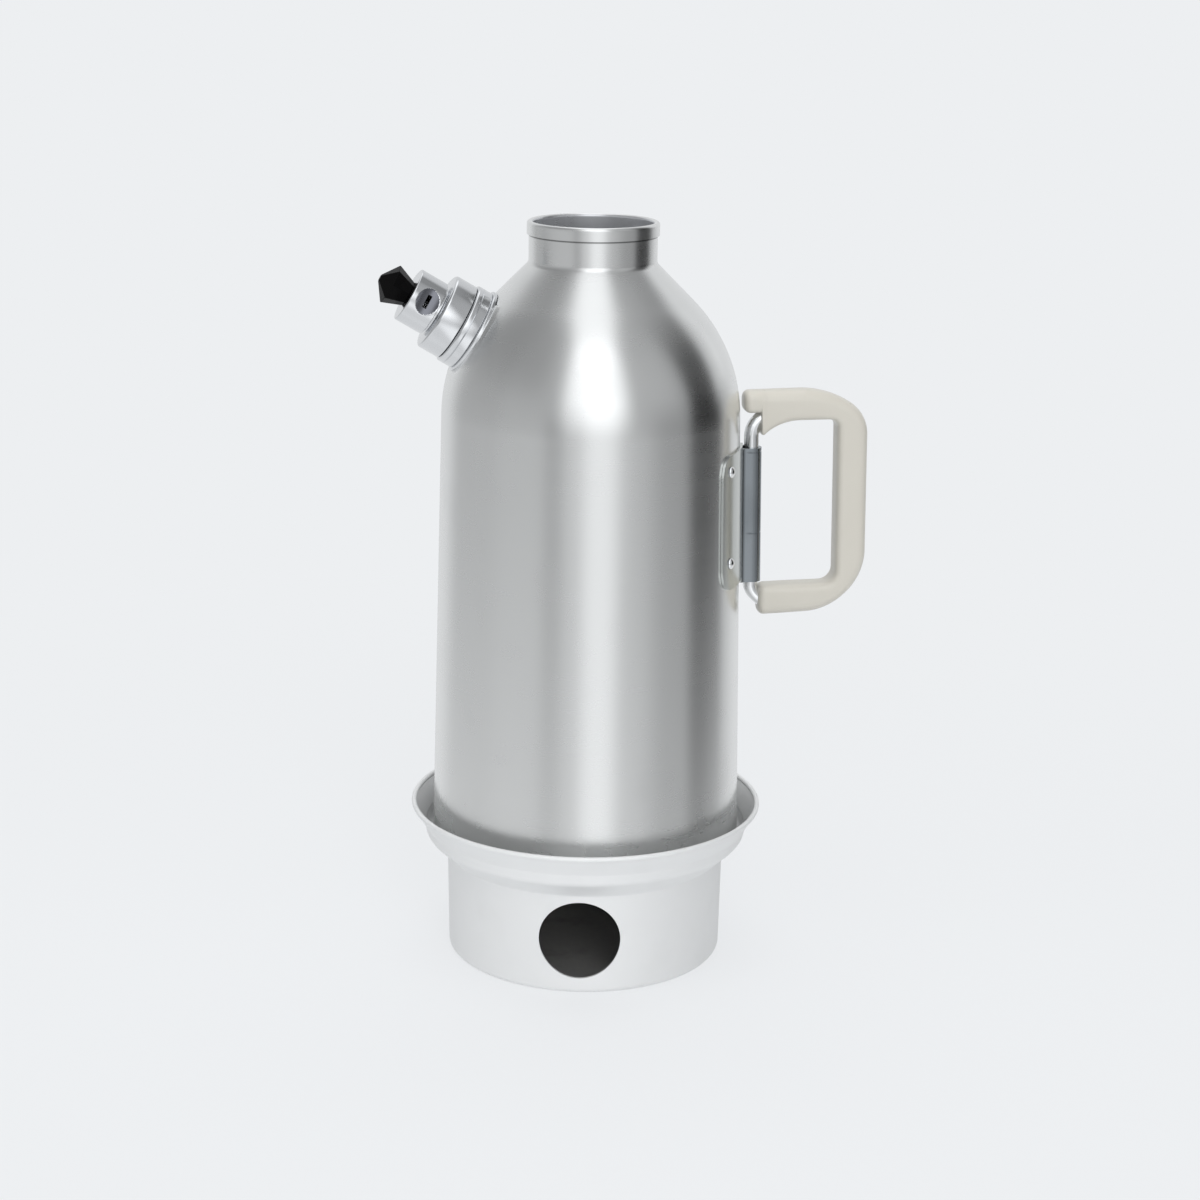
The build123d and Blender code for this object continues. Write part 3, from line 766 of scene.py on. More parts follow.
# Painted shade: the darker of two copies of the strip's steel, for the barrel and its bends; the plate's
# copy is the lit one.
SHADED_BARREL_STEEL = Metal(
    "shaded_barrel_steel", (0.33, 0.36, 0.385), 0.20, lay=Lay.DRAWN, line_pitch=0.0004, cloud=0.05, dirt=0.2,
)
PLATE_STEEL = Metal(
    "plate_steel", (0.57, 0.59, 0.575), 0.20, lay=Lay.DRAWN, line_pitch=0.0004, cloud=0.05, dirt=0.15,
)
CREAM_PLASTIC = Moulded(
    "cream_plastic", (0.585, 0.56, 0.50), (0.55, 0.525, 0.465), 0.30, coat=0.15, skin=0.00003,
)
BLACK_PLASTIC = Moulded(
    "black_plastic", (0.002, 0.002, 0.0022), (0.004, 0.0035, 0.0035), 0.24, gloss=0.05, skin=0.00001,
)
PALE_RUBBER = Moulded("pale_rubber", (0.55, 0.53, 0.48), (0.46, 0.44, 0.40), 0.7)

FINISHES = (
    SATIN_ALUMINIUM, INNER_ALUMINIUM, MATTE_ALUMINIUM, SHADED_BOWL_ALUMINIUM, BURNT_ALUMINIUM, POLISHED_ALUMINIUM,
    LIT_THROAT_ALUMINIUM, SHADED_DIMPLE_ALUMINIUM, BRIGHT_STEEL, SHADED_BARREL_STEEL, PLATE_STEEL, CREAM_PLASTIC, BLACK_PLASTIC,
    PALE_RUBBER,
)


# ---- sub-assemblies
@dataclass
class Shop:
    """Makes the finishes once and dresses pieces with them."""

    materials: dict[str, bpy.types.Material] = field(default_factory=dict)

    def __post_init__(self) -> None:
        """Build every finish."""
        for finish in FINISHES:
            self.materials[finish.name] = finish.material()

    def make(
        self, form: Form, name: str, places: tuple[str, str, str], finish: Metal | Moulded, **looks: float
    ) -> bpy.types.Object:
        """Make a form's piece, finish it and give it its place in the assembly.

        Args:
            form: the piece's surfaces.
            name: the piece's name.
            places: the body it rides on, its record slot and the CAD node it stands for.
            finish: its material.
            looks: options of Form.to_object.

        Returns:
            The new piece.
        """
        body, slot, *nodes = places
        piece = form.to_object(name, **looks)
        piece.data.materials.append(self.materials[finish.name])
        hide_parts(*nodes)
        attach(piece, body)
        log.info("%s: %d faces, rides on %s", piece.name, len(piece.data.polygons), body)
        return piece

    def paint_faces(self, piece: bpy.types.Object, finish: Metal | Moulded, chosen: Array) -> None:
        """Give a piece one more finish, on the chosen faces only."""
        places = np.empty(len(chosen), np.int32)
        piece.data.polygons.foreach_get("material_index", places)
        places[chosen] = len(piece.data.materials)
        piece.data.materials.append(self.materials[finish.name])
        piece.data.polygons.foreach_set("material_index", places)

    def repaint(self, finish: Metal | Moulded, *nodes: str) -> None:
        """Give CAD nodes that keep their own shape a finish."""
        for node in nodes:
            materials = frame["nodes"][node].data.materials
            materials.clear()
            materials.append(self.materials[finish.name])
            log.info("%s: CAD shape kept", node)


@dataclass
class FireBase:
    """The spun base: floor, fire chamber with its air hole, bowl, and flared lip with a bead.

    All sizes are of the outer surface.
    """

    wall: float = 0.0012
    foot_radius: float = 0.0655
    foot_bend: float = 0.0024
    chamber_radius: float = 0.0662
    chamber_height: float = 0.0488
    ledge_height: float = 0.0630
    chamber_bend: float = 0.0024
    bowl_radius: float = 0.0763
    bowl_height: float = 0.0580
    bowl_bend: float = 0.0050
    lip_radius: float = 0.0773
    lip_height: float = 0.0635
    lip_bend: float = 0.0030
    bead_radius: float = 0.0012
    bead_height: float = 0.0730
    hole_radius: float = 0.0189
    hole_height: float = 0.0267
    hole_azimuth: float = math.radians(-99.7)
    window_height: float = 0.0210
    reach: int = 16
    open_reach: int = 10
    columns: int = 264
    pitch: float = 0.0016

    def middle_line(self) -> Array:
        """The sheet's middle from the floor's centre to the bead, as (radius, height)."""
        bead_middle = (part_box("fire_base")[1].x - self.bead_radius, self.bead_height)
        half = self.wall / 2.0
        slope = math.atan2(self.bowl_height - self.chamber_height, self.bowl_radius - self.chamber_radius)
        corners = [
            (0.0, half), (self.foot_radius - half, half),
            (self.chamber_radius - half, self.chamber_height + half * math.tan(slope / 2.0)),
            (self.bowl_radius - half, self.bowl_height + half * math.tan(slope / 2.0)),
            (self.lip_radius - half, self.lip_height),
            bead_middle,
        ]
        return rounded(corners, [self.foot_bend, self.chamber_bend, self.bowl_bend, self.lip_bend])

    def spun_sheet(self) -> Form:
        """The sheet turned round the axis, with the air hole let into its wall."""
        line = evened(self.middle_line(), self.pitch)
        along = lengths_along(line)
        edges = np.interp(
            [self.hole_height - self.window_height, self.hole_height + self.window_height], line[:, 1], along
        )
        clear = 0.25 * self.pitch
        kept = along[(along < edges[0] - clear) | (along > edges[1] + clear)]
        window_rows = np.linspace(edges[0], edges[1], 2 * self.reach + 1)
        lengths = np.sort(np.concatenate([kept, window_rows]))
        line = at_lengths(line, lengths)
        middle_row = nearest(lengths, window_rows[self.reach])
        window = RoundWindow(middle_row, self.columns // 2, self.reach, self.open_reach, self.hole_radius)
        turn = full_turn(self.columns, self.columns // 2)
        sides = []
        for side in sheet_sides(line, self.wall):
            radius = np.repeat(side[:, :1], self.columns, axis=1)
            height = np.repeat(side[:, 1:], self.columns, axis=1)
            across, up = window.bent(radius * np.sin(turn), height - self.hole_height)
            block = np.abs(across - radius * np.sin(turn)) + np.abs(up + self.hole_height - height) > 1e-12
            angle = np.where(block, np.arcsin((across / radius.clip(1e-6)).clip(-1, 1)), turn)
            radius = np.where(block, np.interp(up + self.hole_height, side[:, 1], side[:, 0]), radius)
            sides.append(UPRIGHT.points(radius, angle + self.hole_azimuth, up + self.hole_height))
        return Form().walled(*sides, True, window.open_cells(len(line) - 1, self.columns))

    def bead(self) -> Array:
        """The rolled edge: a circle carried round the axis."""
        middle = (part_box("fire_base")[1].x - self.bead_radius, self.bead_height)
        return UPRIGHT.turned(circle(self.bead_radius, 20) + middle, self.columns)

    def build(self, shop: Shop) -> None:
        """Make the base, burnt inside its chamber, with a darker copy of its aluminium in its bowl above the
        ledge, painted shade.
        """
        form = self.spun_sheet().ring_solid(self.bead())
        places = ("fire_base", "matte_aluminium", "fire_base")
        piece = shop.make(form, "fire_base_sheet", places, MATTE_ALUMINIUM)
        x, y, height = face_middles(piece).T
        line = self.middle_line()
        inside = np.hypot(x, y) < np.interp(height, line[:, 1], line[:, 0]) - 0.25 * self.wall
        inside &= (height > 0.5 * self.wall) & (height < self.bead_height - self.bead_radius)
        shop.paint_faces(piece, BURNT_ALUMINIUM, inside & (height < self.chamber_height))
        # Painted shade: the inside of the bowl above the ledge gets the darker copy.
        shop.paint_faces(piece, SHADED_BOWL_ALUMINIUM, inside & (height >= self.ledge_height))


@dataclass
class Bottle:
    """The kettle's body: outer shell with its spout seat, flue with its folded hem, and floor."""

    corner_radius: float = 0.0683
    neck_radius: float = 0.0293
    neck_height: float = 0.0188
    shoulder_slope: float = math.radians(45.0)
    shoulder_bend: float = 0.0760
    neck_bend: float = 0.0034
    flue_wall: float = 0.0008
    hem_height: float = 0.0060
    fold_share: float = 0.49
    flue_skirt_height: float = 0.0120
    flue_neck_drop: float = 0.0022
    flue_bend: float = 0.0080
    floor_wall: float = 0.0010
    floor_bend: float = 0.0015
    tail_radius: float = 0.0166
    seat_radius: float = 0.0218
    seat_blend: float = 0.0022
    seat_search: float = 0.03
    halvings: int = 26
    columns: int = 288
    pitch: float = 0.0020
    run_inset: float = 0.0200
    reach: int = 18
    open_reach: int = 8

    def __post_init__(self) -> None:
        """Take the heights and the foot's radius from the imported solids."""
        low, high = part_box("outer_shell")
        self.foot_radius = high.x
        self.foot_height = low.z
        self.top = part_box("flue_tube")[1].z
        self.neck_foot = self.top - self.neck_height
        shoulder = (self.corner_radius - self.neck_radius) * math.tan(self.shoulder_slope)
        self.corner_height = self.neck_foot - shoulder
        self.flue_foot_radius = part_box("flue_tube")[1].x

    def shell_radius(self, height: Any) -> Any:
        """Outer radius of the straight body at a height."""
        share = (height - self.foot_height) / (self.corner_height - self.foot_height)
        return self.foot_radius + (self.corner_radius - self.foot_radius) * share

    def shell_line(self) -> Array:
        """Outer outline of the shell from its foot to under the hem, as (radius, height)."""
        corners = [
            (self.foot_radius, self.foot_height), (self.corner_radius, self.corner_height),
            (self.neck_radius, self.neck_foot), (self.neck_radius, self.top - 2.0 * self.flue_wall),
        ]
        line = evened(rounded(corners, [self.shoulder_bend, self.neck_bend], 30), self.pitch)
        return thinned(line, self.foot_height + self.run_inset, self.corner_height - 2.0 * self.run_inset)

    def shell(self) -> Form:
        """The shell turned round the axis, with a round seat pressed into its shoulder.

        Near the spout each point is moved along the spout's axis: onto the seat's plane
        inside the seat, and onto the spun surface outside it, with an eased step between.
        """
        line = self.shell_line()
        up_axis = SPOUT.side
        turn = full_turn(self.columns, self.columns // 2) + math.pi
        seat_row = nearest(line[:, 1], SPOUT.origin[2])
        window = RoundWindow(seat_row, self.columns // 2, self.reach, self.open_reach, self.tail_radius)
        near = np.zeros((len(line), self.columns), bool)
        near[window.block(self.reach)] = True
        sides = []
        for depth in (0.0, SHELL_WALL):
            side = line + left_of(line) * depth
            grid = UPRIGHT.points(side[:, :1], turn[None], side[:, 1:])
            offset = grid - SPOUT.origin
            across, up = window.bent(offset @ SPOUT.zero, offset @ up_axis)
            flat = SPOUT.origin + across[..., None] * SPOUT.zero + up[..., None] * up_axis
            reach = self.reach_surface(flat, SPOUT.along, side)
            step = smooth_step(np.hypot(across, up), self.seat_radius, self.seat_radius + self.seat_blend)
            moved = flat + (reach * step - depth * (1.0 - step))[..., None] * SPOUT.along
            sides.append(np.where(near[..., None], moved, grid))
        return Form().walled(*sides, True, window.open_cells(len(line) - 1, self.columns))

    def reach_surface(self, start: Array, direction: Array, outline: Array) -> Array:
        """How far along the direction a point meets the spun surface, by halving the way."""
        low = np.full(start.shape[:-1], -self.seat_search)
        high = -low
        for _ in range(self.halvings):
            middle = 0.5 * (low + high)
            place = start + middle[..., None] * direction
            radius = np.hypot(place[..., 0], place[..., 1])
            outside = radius > np.interp(place[..., 2], outline[:, 1], outline[:, 0])
            low, high = np.where(outside, low, middle), np.where(outside, middle, high)
        return 0.5 * (low + high)

    def flue_line(self) -> Array:
        """Middle of the flue's sheet, from the hem's edge over the fold and down to its foot."""
        hem = self.neck_radius + FIT_GAP + self.flue_wall / 2.0
        throat = self.neck_radius - SHELL_WALL - FIT_GAP - self.flue_wall / 2.0
        skirt = self.flue_foot_radius - self.flue_wall / 2.0
        fold = self.fold_share * (hem - throat)
        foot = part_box("flue_tube")[0].z
        crest = self.top - self.flue_wall / 2.0
        corners = [
            (hem, self.top - self.hem_height), (hem, crest), (throat, crest),
            (throat, self.neck_foot - self.flue_neck_drop),
            (skirt, foot + self.floor_wall / 2.0 + self.flue_skirt_height), (skirt, foot),
        ]
        line = evened(rounded(corners, [fold, fold, self.flue_bend, self.flue_bend], 10), self.pitch)
        return thinned(line, foot + self.run_inset, self.neck_foot - self.run_inset)

    def floor_line(self) -> Array:
        """Middle of the jacket floor's sheet, from its inner upstand to its outer one."""
        low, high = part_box("jacket_floor")
        inner = self.flue_foot_radius + FIT_GAP + self.floor_wall / 2.0
        level, top = low.z + self.floor_wall / 2.0, high.z
        inset = SHELL_WALL + FIT_GAP + self.floor_wall / 2.0
        corners = [
            (inner, top), (inner, level), (self.shell_radius(level) - inset, level),
            (self.shell_radius(top) - inset, top),
        ]
        return evened(rounded(corners, [self.floor_bend, self.floor_bend]), self.pitch)

    def spun(self, line: Array, wall: float) -> Form:
        """A bent sheet turned round the axis."""
        sides = [UPRIGHT.turned(side, self.columns) for side in sheet_sides(line, wall)]
        return Form().walled(*sides, True)

    def build(self, shop: Shop) -> None:
        """Make shell, flue and floor."""
        role = ("kettle", "satin_aluminium")
        shop.make(self.shell(), "bottle_shell", (*role, "outer_shell"), SATIN_ALUMINIUM)
        flue = self.spun(self.flue_line(), self.flue_wall)
        flue = shop.make(flue, "flue_and_hem", (*role, "flue_tube"), SATIN_ALUMINIUM)
        # Painted light: the inside of the flue's neck gets the throat's partly diffuse copy of the
        # aluminium, which lightens it.
        x, y, height = face_middles(flue).T
        inner = np.hypot(x, y) < self.neck_radius - SHELL_WALL - FIT_GAP - self.flue_wall / 2.0
        inner &= height > self.neck_foot - self.flue_neck_drop
        shop.paint_faces(flue, LIT_THROAT_ALUMINIUM, inner)
        floor = self.spun(self.floor_line(), self.floor_wall)
        shop.make(floor, "jacket_ring", (*role, "jacket_floor"), INNER_ALUMINIUM)


@dataclass
class Spout:
    """The turned spout: ring on the pressed seat, collar and threaded mouth.

    Heights are measured along the spout's axis from its seat.
    """

    edge: float = 0.0005
    ring_radius: float = 0.0204
    ring_height: float = 0.0016
    collar_radius: float = 0.0192
    collar_height: float = 0.0073
    edge_bend: float = 0.0006
    collar_bend: float = 0.0011
    groove_share: float = 0.62
    groove_depth: float = 0.0003
    tail_radius: float = 0.0165
    tail_lip_radius: float = 0.0179
    tail_lip_height: float = 0.0013
    bore: float = 0.0128
    thread_radius: float = 0.0156
    thread_length: float = 0.0074
    thread_pitch: float = 0.0025
    thread_depth: float = 0.0008
    steps_a_turn: int = 72
    run_out: float = 0.06
    ridge_share: float = 0.3
    columns: int = 160

    def __post_init__(self) -> None:
        """Work out the heights that the cap is set by."""
        self.collar_top = self.ring_height + self.collar_height
        self.thread_top = self.collar_top + self.thread_length

    def ring_outline(self) -> Array:
        """The ring's section."""
        inner = self.tail_radius + FIT_GAP
        corners = [
            (inner, 0.0), (self.ring_radius, 0.0), (self.ring_radius, self.ring_height),
            (inner, self.ring_height), (inner, 0.0),
        ]
        return rounded(corners, [0.0, self.edge_bend, 0.0], 6)[:-1]

    def neck_outline(self) -> Array:
        """The neck's section: lip, tail, collar with a turned groove, and mouth."""
        lip_top = -SHELL_WALL - FIT_GAP
        groove = self.ring_height + self.groove_share * self.collar_height
        corners = [
            (self.bore, lip_top - self.tail_lip_height),
            (self.tail_lip_radius, lip_top - self.tail_lip_height), (self.tail_lip_radius, lip_top),
            (self.tail_radius, lip_top), (self.tail_radius, self.ring_height),
            (self.collar_radius, self.ring_height),
            (self.collar_radius, groove - self.groove_depth),
            (self.collar_radius - self.groove_depth, groove),
            (self.collar_radius, groove + self.groove_depth), (self.collar_radius, self.collar_top),
            (self.thread_radius - self.thread_depth, self.collar_top),
            (self.thread_radius - self.thread_depth, self.thread_top - self.edge),
            (self.thread_radius - self.thread_depth - self.edge, self.thread_top),
            (self.bore, self.thread_top), (self.bore, lip_top - self.tail_lip_height),
        ]
        radii = [0.0] * (len(corners) - 2)
        radii[4], radii[8] = self.edge_bend, self.collar_bend
        return rounded(corners, radii, 6)[:-1]

    def thread(self) -> Array:
        """The thread's ridge: a rounded tooth carried up a helix, narrowed at both ends."""
        turns = self.thread_length / self.thread_pitch - 0.5
        steps = int(turns * self.steps_a_turn)
        share = np.linspace(0.0, 1.0, steps)
        angle = share * turns * 2.0 * math.pi
        height = self.collar_top + 0.5 * self.thread_pitch + share * (turns - 0.25) * self.thread_pitch
        run_out = 1.0 - smooth_step(share, 1.0 - self.run_out, 1.0)
        size = np.minimum(smooth_step(share, 0.0, self.run_out), run_out).clip(0.05)
        around = full_turn(10)
        root = self.thread_radius - self.thread_depth
        out = root + size[:, None] * self.thread_depth * np.cos(around)
        rise = height[:, None] + size[:, None] * self.ridge_share * self.thread_pitch * np.sin(around)
        return SPOUT.points(out, angle[:, None], rise)

    def build(self, shop: Shop) -> None:
        """Make ring and neck."""
        role = ("kettle", "polished_aluminium")
        ring = Form().ring_solid(SPOUT.turned(self.ring_outline(), self.columns))
        shop.make(ring, "spout_seat_ring", (*role, "spout_ring"), POLISHED_ALUMINIUM)
        neck = Form().ring_solid(SPOUT.turned(self.neck_outline(), self.columns)).capped(self.thread())
        shop.make(neck, "spout_mouth", (*role, "spout_neck"), POLISHED_ALUMINIUM)


@dataclass
class Cap:
    """Screw cap, whistle with its milled window, and faceted knob, on the spout's axis."""

    spout: Spout
    loose_gap: float = 0.0003
    running_gap: float = 0.0001
    crown_bend: float = 0.0006
    foot_break: float = 0.0002
    gasket_height: float = 0.0016
    skirt_radius: float = 0.0182
    skirt_height: float = 0.0106
    top_bend: float = 0.0014
    skirt_bend: float = 0.0004
    waist_bend: float = 0.0005
    spigot_bend: float = 0.0003
    waist_radius: float = 0.0108
    waist_height: float = 0.0014
    spigot_height: float = 0.0014
    steam_hole: float = 0.0030
    whistle_radius: float = 0.0128
    whistle_bore: float = 0.0099
    whistle_height: float = 0.0135
    whistle_end: float = 0.0018
    window_start: float = 0.0048
    window_height: float = 0.0020
    window_width: float = 0.0074
    window_azimuth: float = math.radians(12.0)
    surface_margin: float = 0.00008
    dimple_radius: float = 0.0095
    dimple_depth: float = 0.0016
    knob_sides: int = 8
    knob_turn: float = math.radians(6.0)
    knob_foot: float = 0.0118
    knob_belt: float = 0.0190
    knob_tip: float = 0.0030
    knob_belt_height: float = 0.0092
    knob_height: float = 0.0148
    knob_edge: float = 0.0003
    columns: int = 160

    def __post_init__(self) -> None:
        """Work out the heights along the axis."""
        self.foot = self.spout.collar_top + self.loose_gap
        self.top = self.foot + self.skirt_height
        self.waist_top = self.top + self.waist_height
        self.whistle_top = self.waist_top + self.whistle_height
        self.gasket_top = self.spout.thread_top + self.running_gap + self.gasket_height

    def cap_outline(self) -> Array:
        """The cap's section: skirt with a rounded shoulder, waist, spigot and steam hole."""
        bore = self.spout.thread_radius + self.running_gap
        spigot = self.whistle_bore - self.running_gap
        spigot_top = self.waist_top + self.spigot_height
        corners = [
            (bore, self.foot), (self.skirt_radius, self.foot), (self.skirt_radius, self.top),
            (self.waist_radius, self.top), (self.waist_radius, self.waist_top),
            (spigot, self.waist_top), (spigot, spigot_top), (self.steam_hole, spigot_top),
            (self.steam_hole, self.gasket_top), (bore, self.gasket_top), (bore, self.foot),
        ]
        bends = [self.skirt_bend, self.top_bend, self.waist_bend, 0.0, 0.0, self.spigot_bend, 0.0, 0.0, 0.0]
        return rounded(corners, bends, 6)[:-1]

    def whistle(self) -> Form:
        """The whistle's tube with a lens-shaped dimple and a slot milled in its side.

        The dimple is the part of the wall inside a cylinder whose axis lies across the
        whistle: there the radius is the distance to that cylinder along the spoke.
        """
        half = self.columns // 2
        turn = full_turn(self.columns, half)
        slot_foot = self.waist_top + self.window_start
        slot_top = slot_foot + self.window_height
        heights = np.concatenate(
            [
                [self.waist_top],
                np.linspace(self.waist_top + self.foot_break, slot_foot, 16),
                np.linspace(slot_foot, slot_top, 7)[1:],
                np.linspace(slot_top, self.whistle_top - self.crown_bend, 28)[1:],
            ]
        )
        radius = np.full_like(heights, self.whistle_radius)
        radius[0] -= self.foot_break
        crown = rounded(
            [
                (self.whistle_radius, self.whistle_top - self.crown_bend),
                (self.whistle_radius, self.whistle_top), (0.0, self.whistle_top),
            ],
            [self.crown_bend],
            6,
        )[1:]
        outer_line = np.concatenate([np.stack([radius, heights], axis=1), evened(crown, 0.0009)[1:]])
        inner_line = np.stack(
            [
                np.minimum(outer_line[:, 0], self.whistle_bore),
                np.minimum(outer_line[:, 1], self.whistle_top - self.whistle_end),
            ],
            axis=1,
        )
        middle = 0.5 * (slot_foot + slot_top)
        centre = self.whistle_radius - self.dimple_depth + self.dimple_radius
        inside = np.abs(outer_line[:, 1] - middle) < self.dimple_radius
        bite = np.sqrt(np.where(inside, self.dimple_radius**2 - (outer_line[:, 1] - middle) ** 2, 0.0))
        floor = (centre - bite)[:, None] / np.cos(turn).clip(0.2)
        below_top = outer_line[:, 1] < self.whistle_top - 1e-5
        milled = (inside & below_top)[:, None] & (np.abs(turn) < 1.0)
        wide = np.where(milled, np.minimum(outer_line[:, :1], floor), outer_line[:, :1])
        angle = turn + self.window_azimuth
        outer = SPOUT.points(wide, angle[None], outer_line[:, 1:])
        inner = SPOUT.points(inner_line[:, :1], angle[None], inner_line[:, 1:])
        half_angle = math.asin(0.5 * self.window_width / self.whistle_radius)
        reach = int(round(half_angle / (2.0 * math.pi / self.columns)))
        first, last = [nearest(outer_line[:, 1], edge) for edge in (slot_foot, slot_top)]
        slot = np.zeros((len(outer_line) - 1, self.columns), bool)
        slot[first:last, half - reach:half + reach] = True
        return Form().walled(outer, inner, True, slot)

    def knob(self) -> Form:
        """The knob: an eight-sided prism that widens to a belt and closes in a blunt point."""
        stations = [
            (0.0, self.knob_foot), (self.knob_belt_height, self.knob_belt), (self.knob_height, self.knob_tip)
        ]
        step = 2.0 * math.pi / self.knob_sides
        angle = self.window_azimuth - self.knob_turn + np.arange(self.knob_sides) * step
        heights, widths = np.array(stations).T
        levels = (heights + self.whistle_top)[:, None]
        return Form().capped(SPOUT.points(0.5 * widths[:, None], angle[None], levels))

    def build(self, shop: Shop) -> None:
        """Make cap, whistle and knob, and finish the small parts inside them."""
        role = ("cap", "polished_aluminium")
        cap = Form().ring_solid(SPOUT.turned(self.cap_outline(), self.columns))
        shop.make(cap, "screw_cap", (*role, "cap_shell"), POLISHED_ALUMINIUM)
        whistle = shop.make(self.whistle(), "whistle_tube", (*role, "whistle_body"), POLISHED_ALUMINIUM)
        offset = face_middles(whistle) - SPOUT.origin
        height = offset @ SPOUT.along
        radius = np.linalg.norm(offset - height[:, None] * SPOUT.along, axis=1)
        # Painted shade: the milled faces, the dimple's floor and the slot's walls, get the dark copy.
        milled = radius < self.whistle_radius - self.surface_margin
        milled &= radius > self.whistle_bore + self.surface_margin
        milled &= (height > self.waist_top + self.foot_break) & (height < self.whistle_top - self.crown_bend)
        shop.paint_faces(whistle, SHADED_DIMPLE_ALUMINIUM, milled)
        places = ("cap", "black_plastic", "cap_knob")
        knob = shop.make(self.knob(), "faceted_knob", places, BLACK_PLASTIC, crease=12.0)
        bevel = knob.modifiers.new("worn edges", "BEVEL")
        bevel.width = self.knob_edge
        bevel.segments = 3
        bevel.harden_normals = True
        shop.repaint(POLISHED_ALUMINIUM, "whistle_languet")
        shop.repaint(BRIGHT_STEEL, "knob_stud")
        shop.repaint(PALE_RUBBER, "cap_gasket")


@dataclass
class Bracket:
    """The hinge bracket: one strip that hugs the bottle and is bent out round the pin."""

    bottle: Bottle
    wall: float = 0.0012
    stand: float = 0.0068
    barrel_bore: float = 0.0036
    wing_root: float = 0.0062
    root_bend: float = 0.0024
    barrel_blend: Point = (0.0050, 0.0110)
    plate_height: float = 0.0630
    plate_rise: float = 0.0050
    plate_corner: float = 0.0090
    plate_half_angle: float = math.radians(39.5)
    rivet_angle: float = math.radians(33.0)
    rivet_rise: float = 0.0024
    rivet_spacing: float = 0.0426
    rivet_radius: float = 0.0016
    head_radius: float = 0.0026
    head_height: float = 0.0015
    washer_wall: float = 0.0006
    seam_heights: tuple[float, ...] = (-0.0084, 0.0304)
    seam_width: float = 0.0005
    seam_depth: float = 0.00035

    def strip_line(self, half_width: float) -> Array:
        """Middle of the strip laid flat: plate, bend, barrel and back, as (across, out)."""
        middle = self.barrel_bore + self.wall / 2.0
        level = FIT_GAP + self.wall / 2.0
        crown = self.stand + middle
        corners = [
            (-half_width, level), (-middle, level), (-middle, crown), (middle, crown),
            (middle, level), (half_width, level),
        ]
        return evened(rounded(corners, [self.root_bend, middle, middle, self.root_bend], 12), 0.0012)

    def strip(self) -> Form:
        """The strip wrapped on the bottle's cone.

        Away from the pin, across is a length along the cone's circle. At the pin it is a
        straight distance, so that the barrel stays round.
        """
        level = float(HINGE.origin[2])
        half_width = float(self.bottle.shell_radius(level)) * self.plate_half_angle
        line = self.strip_line(half_width)
        across = line[:, 0]
        at_barrel = 1.0 - smooth_step(np.abs(across), *self.barrel_blend)
        edge = (half_width - np.abs(across)).clip(0.0, self.plate_corner)
        nip = self.plate_corner - np.sqrt(self.plate_corner**2 - (self.plate_corner - edge) ** 2)
        top = at_barrel * BARREL_LENGTH / 2.0
        top += (1.0 - at_barrel) * (self.plate_rise + self.plate_height / 2.0) - nip
        foot = -at_barrel * BARREL_LENGTH / 2.0
        foot += (1.0 - at_barrel) * (self.plate_rise - self.plate_height / 2.0) + nip
        rises = np.linspace(-0.5, 0.5, 45)
        seams = np.concatenate(
            [np.array(self.seam_heights) + shift * self.seam_width for shift in (-0.75, -0.5, 0.5, 0.75)]
        )
        rises = np.unique(np.concatenate([rises, seams / BARREL_LENGTH]))
        height = 0.5 * (top + foot)[:, None] + rises[None] * (top - foot)[:, None]
        cut = np.zeros_like(height)
        for seam in self.seam_heights:
            cut += (np.abs(height - seam) < 0.6 * self.seam_width) * self.seam_depth
        cut *= (line[:, 1] > self.stand - 0.002)[:, None]
        normal = left_of(line)
        sides = []
        for offset in (self.wall / 2.0 - cut, np.full_like(cut, -self.wall / 2.0)):
            run = across[:, None] + normal[:, :1] * offset
            out = line[:, 1:] + normal[:, 1:] * offset
            base = self.bottle.shell_radius(level + height)
            angle = run / self.bottle.shell_radius(level)
            wrapped = np.stack([(base + out) * np.cos(angle), (base + out) * np.sin(angle)], axis=-1)
            straight = np.stack([base + out, run], axis=-1)
            share = at_barrel[:, None, None]
            plan = straight * share + wrapped * (1.0 - share)
            sides.append(np.concatenate([plan, (level + height)[..., None]], axis=-1))
        return Form().walled(*sides, False)

    def rivet_outline(self) -> Array:
        """A rivet's section from the crown of its domed head to the flat inner head."""
        seat = self.wall + 2.0 * FIT_GAP
        dome = np.linspace(0.0, math.pi / 2.0, 9)
        head = np.stack(
            [self.head_radius * np.sin(dome), seat + self.head_height * np.cos(dome)], axis=1
        )
        inner = -SHELL_WALL - 2.0 * FIT_GAP - self.washer_wall
        rest = [
            (self.rivet_radius, seat), (self.rivet_radius, inner), (self.head_radius, inner),
            (self.head_radius, inner - self.head_height), (0.0, inner - self.head_height),
        ]
        return np.concatenate([head, rest])[::-1]

    def rivets(self) -> Form:
        """Four rivets, each turned about a line square to the bottle's wall."""
        bottle = self.bottle
        narrowing = bottle.foot_radius - bottle.corner_radius
        lean = math.atan2(narrowing, bottle.corner_height - bottle.foot_height)
        form = Form()
        middle = float(HINGE.origin[2]) + self.plate_rise + self.rivet_rise
        for angle in (-self.rivet_angle, self.rivet_angle):
            out = np.array([math.cos(angle), math.sin(angle), 0.0])
            beside = np.array([-out[1], out[0], 0.0])
            for height in (middle - self.rivet_spacing / 2.0, middle + self.rivet_spacing / 2.0):
                origin = out * float(bottle.shell_radius(height)) + np.array([0.0, 0.0, height])
                along = out * math.cos(lean) + np.array([0.0, 0.0, math.sin(lean)])
                grid = Spindle(origin, along, beside).turned(self.rivet_outline(), 32)
                form.add(grid, quads(len(grid), 32, False, True))
        return form

    def build(self, shop: Shop) -> None:
        """Make strip and rivets. The barrel and its bends have a darker copy of the steel, painted shade;
        the flat wings have a brighter copy.
        """
        role = ("kettle", "bright_steel")
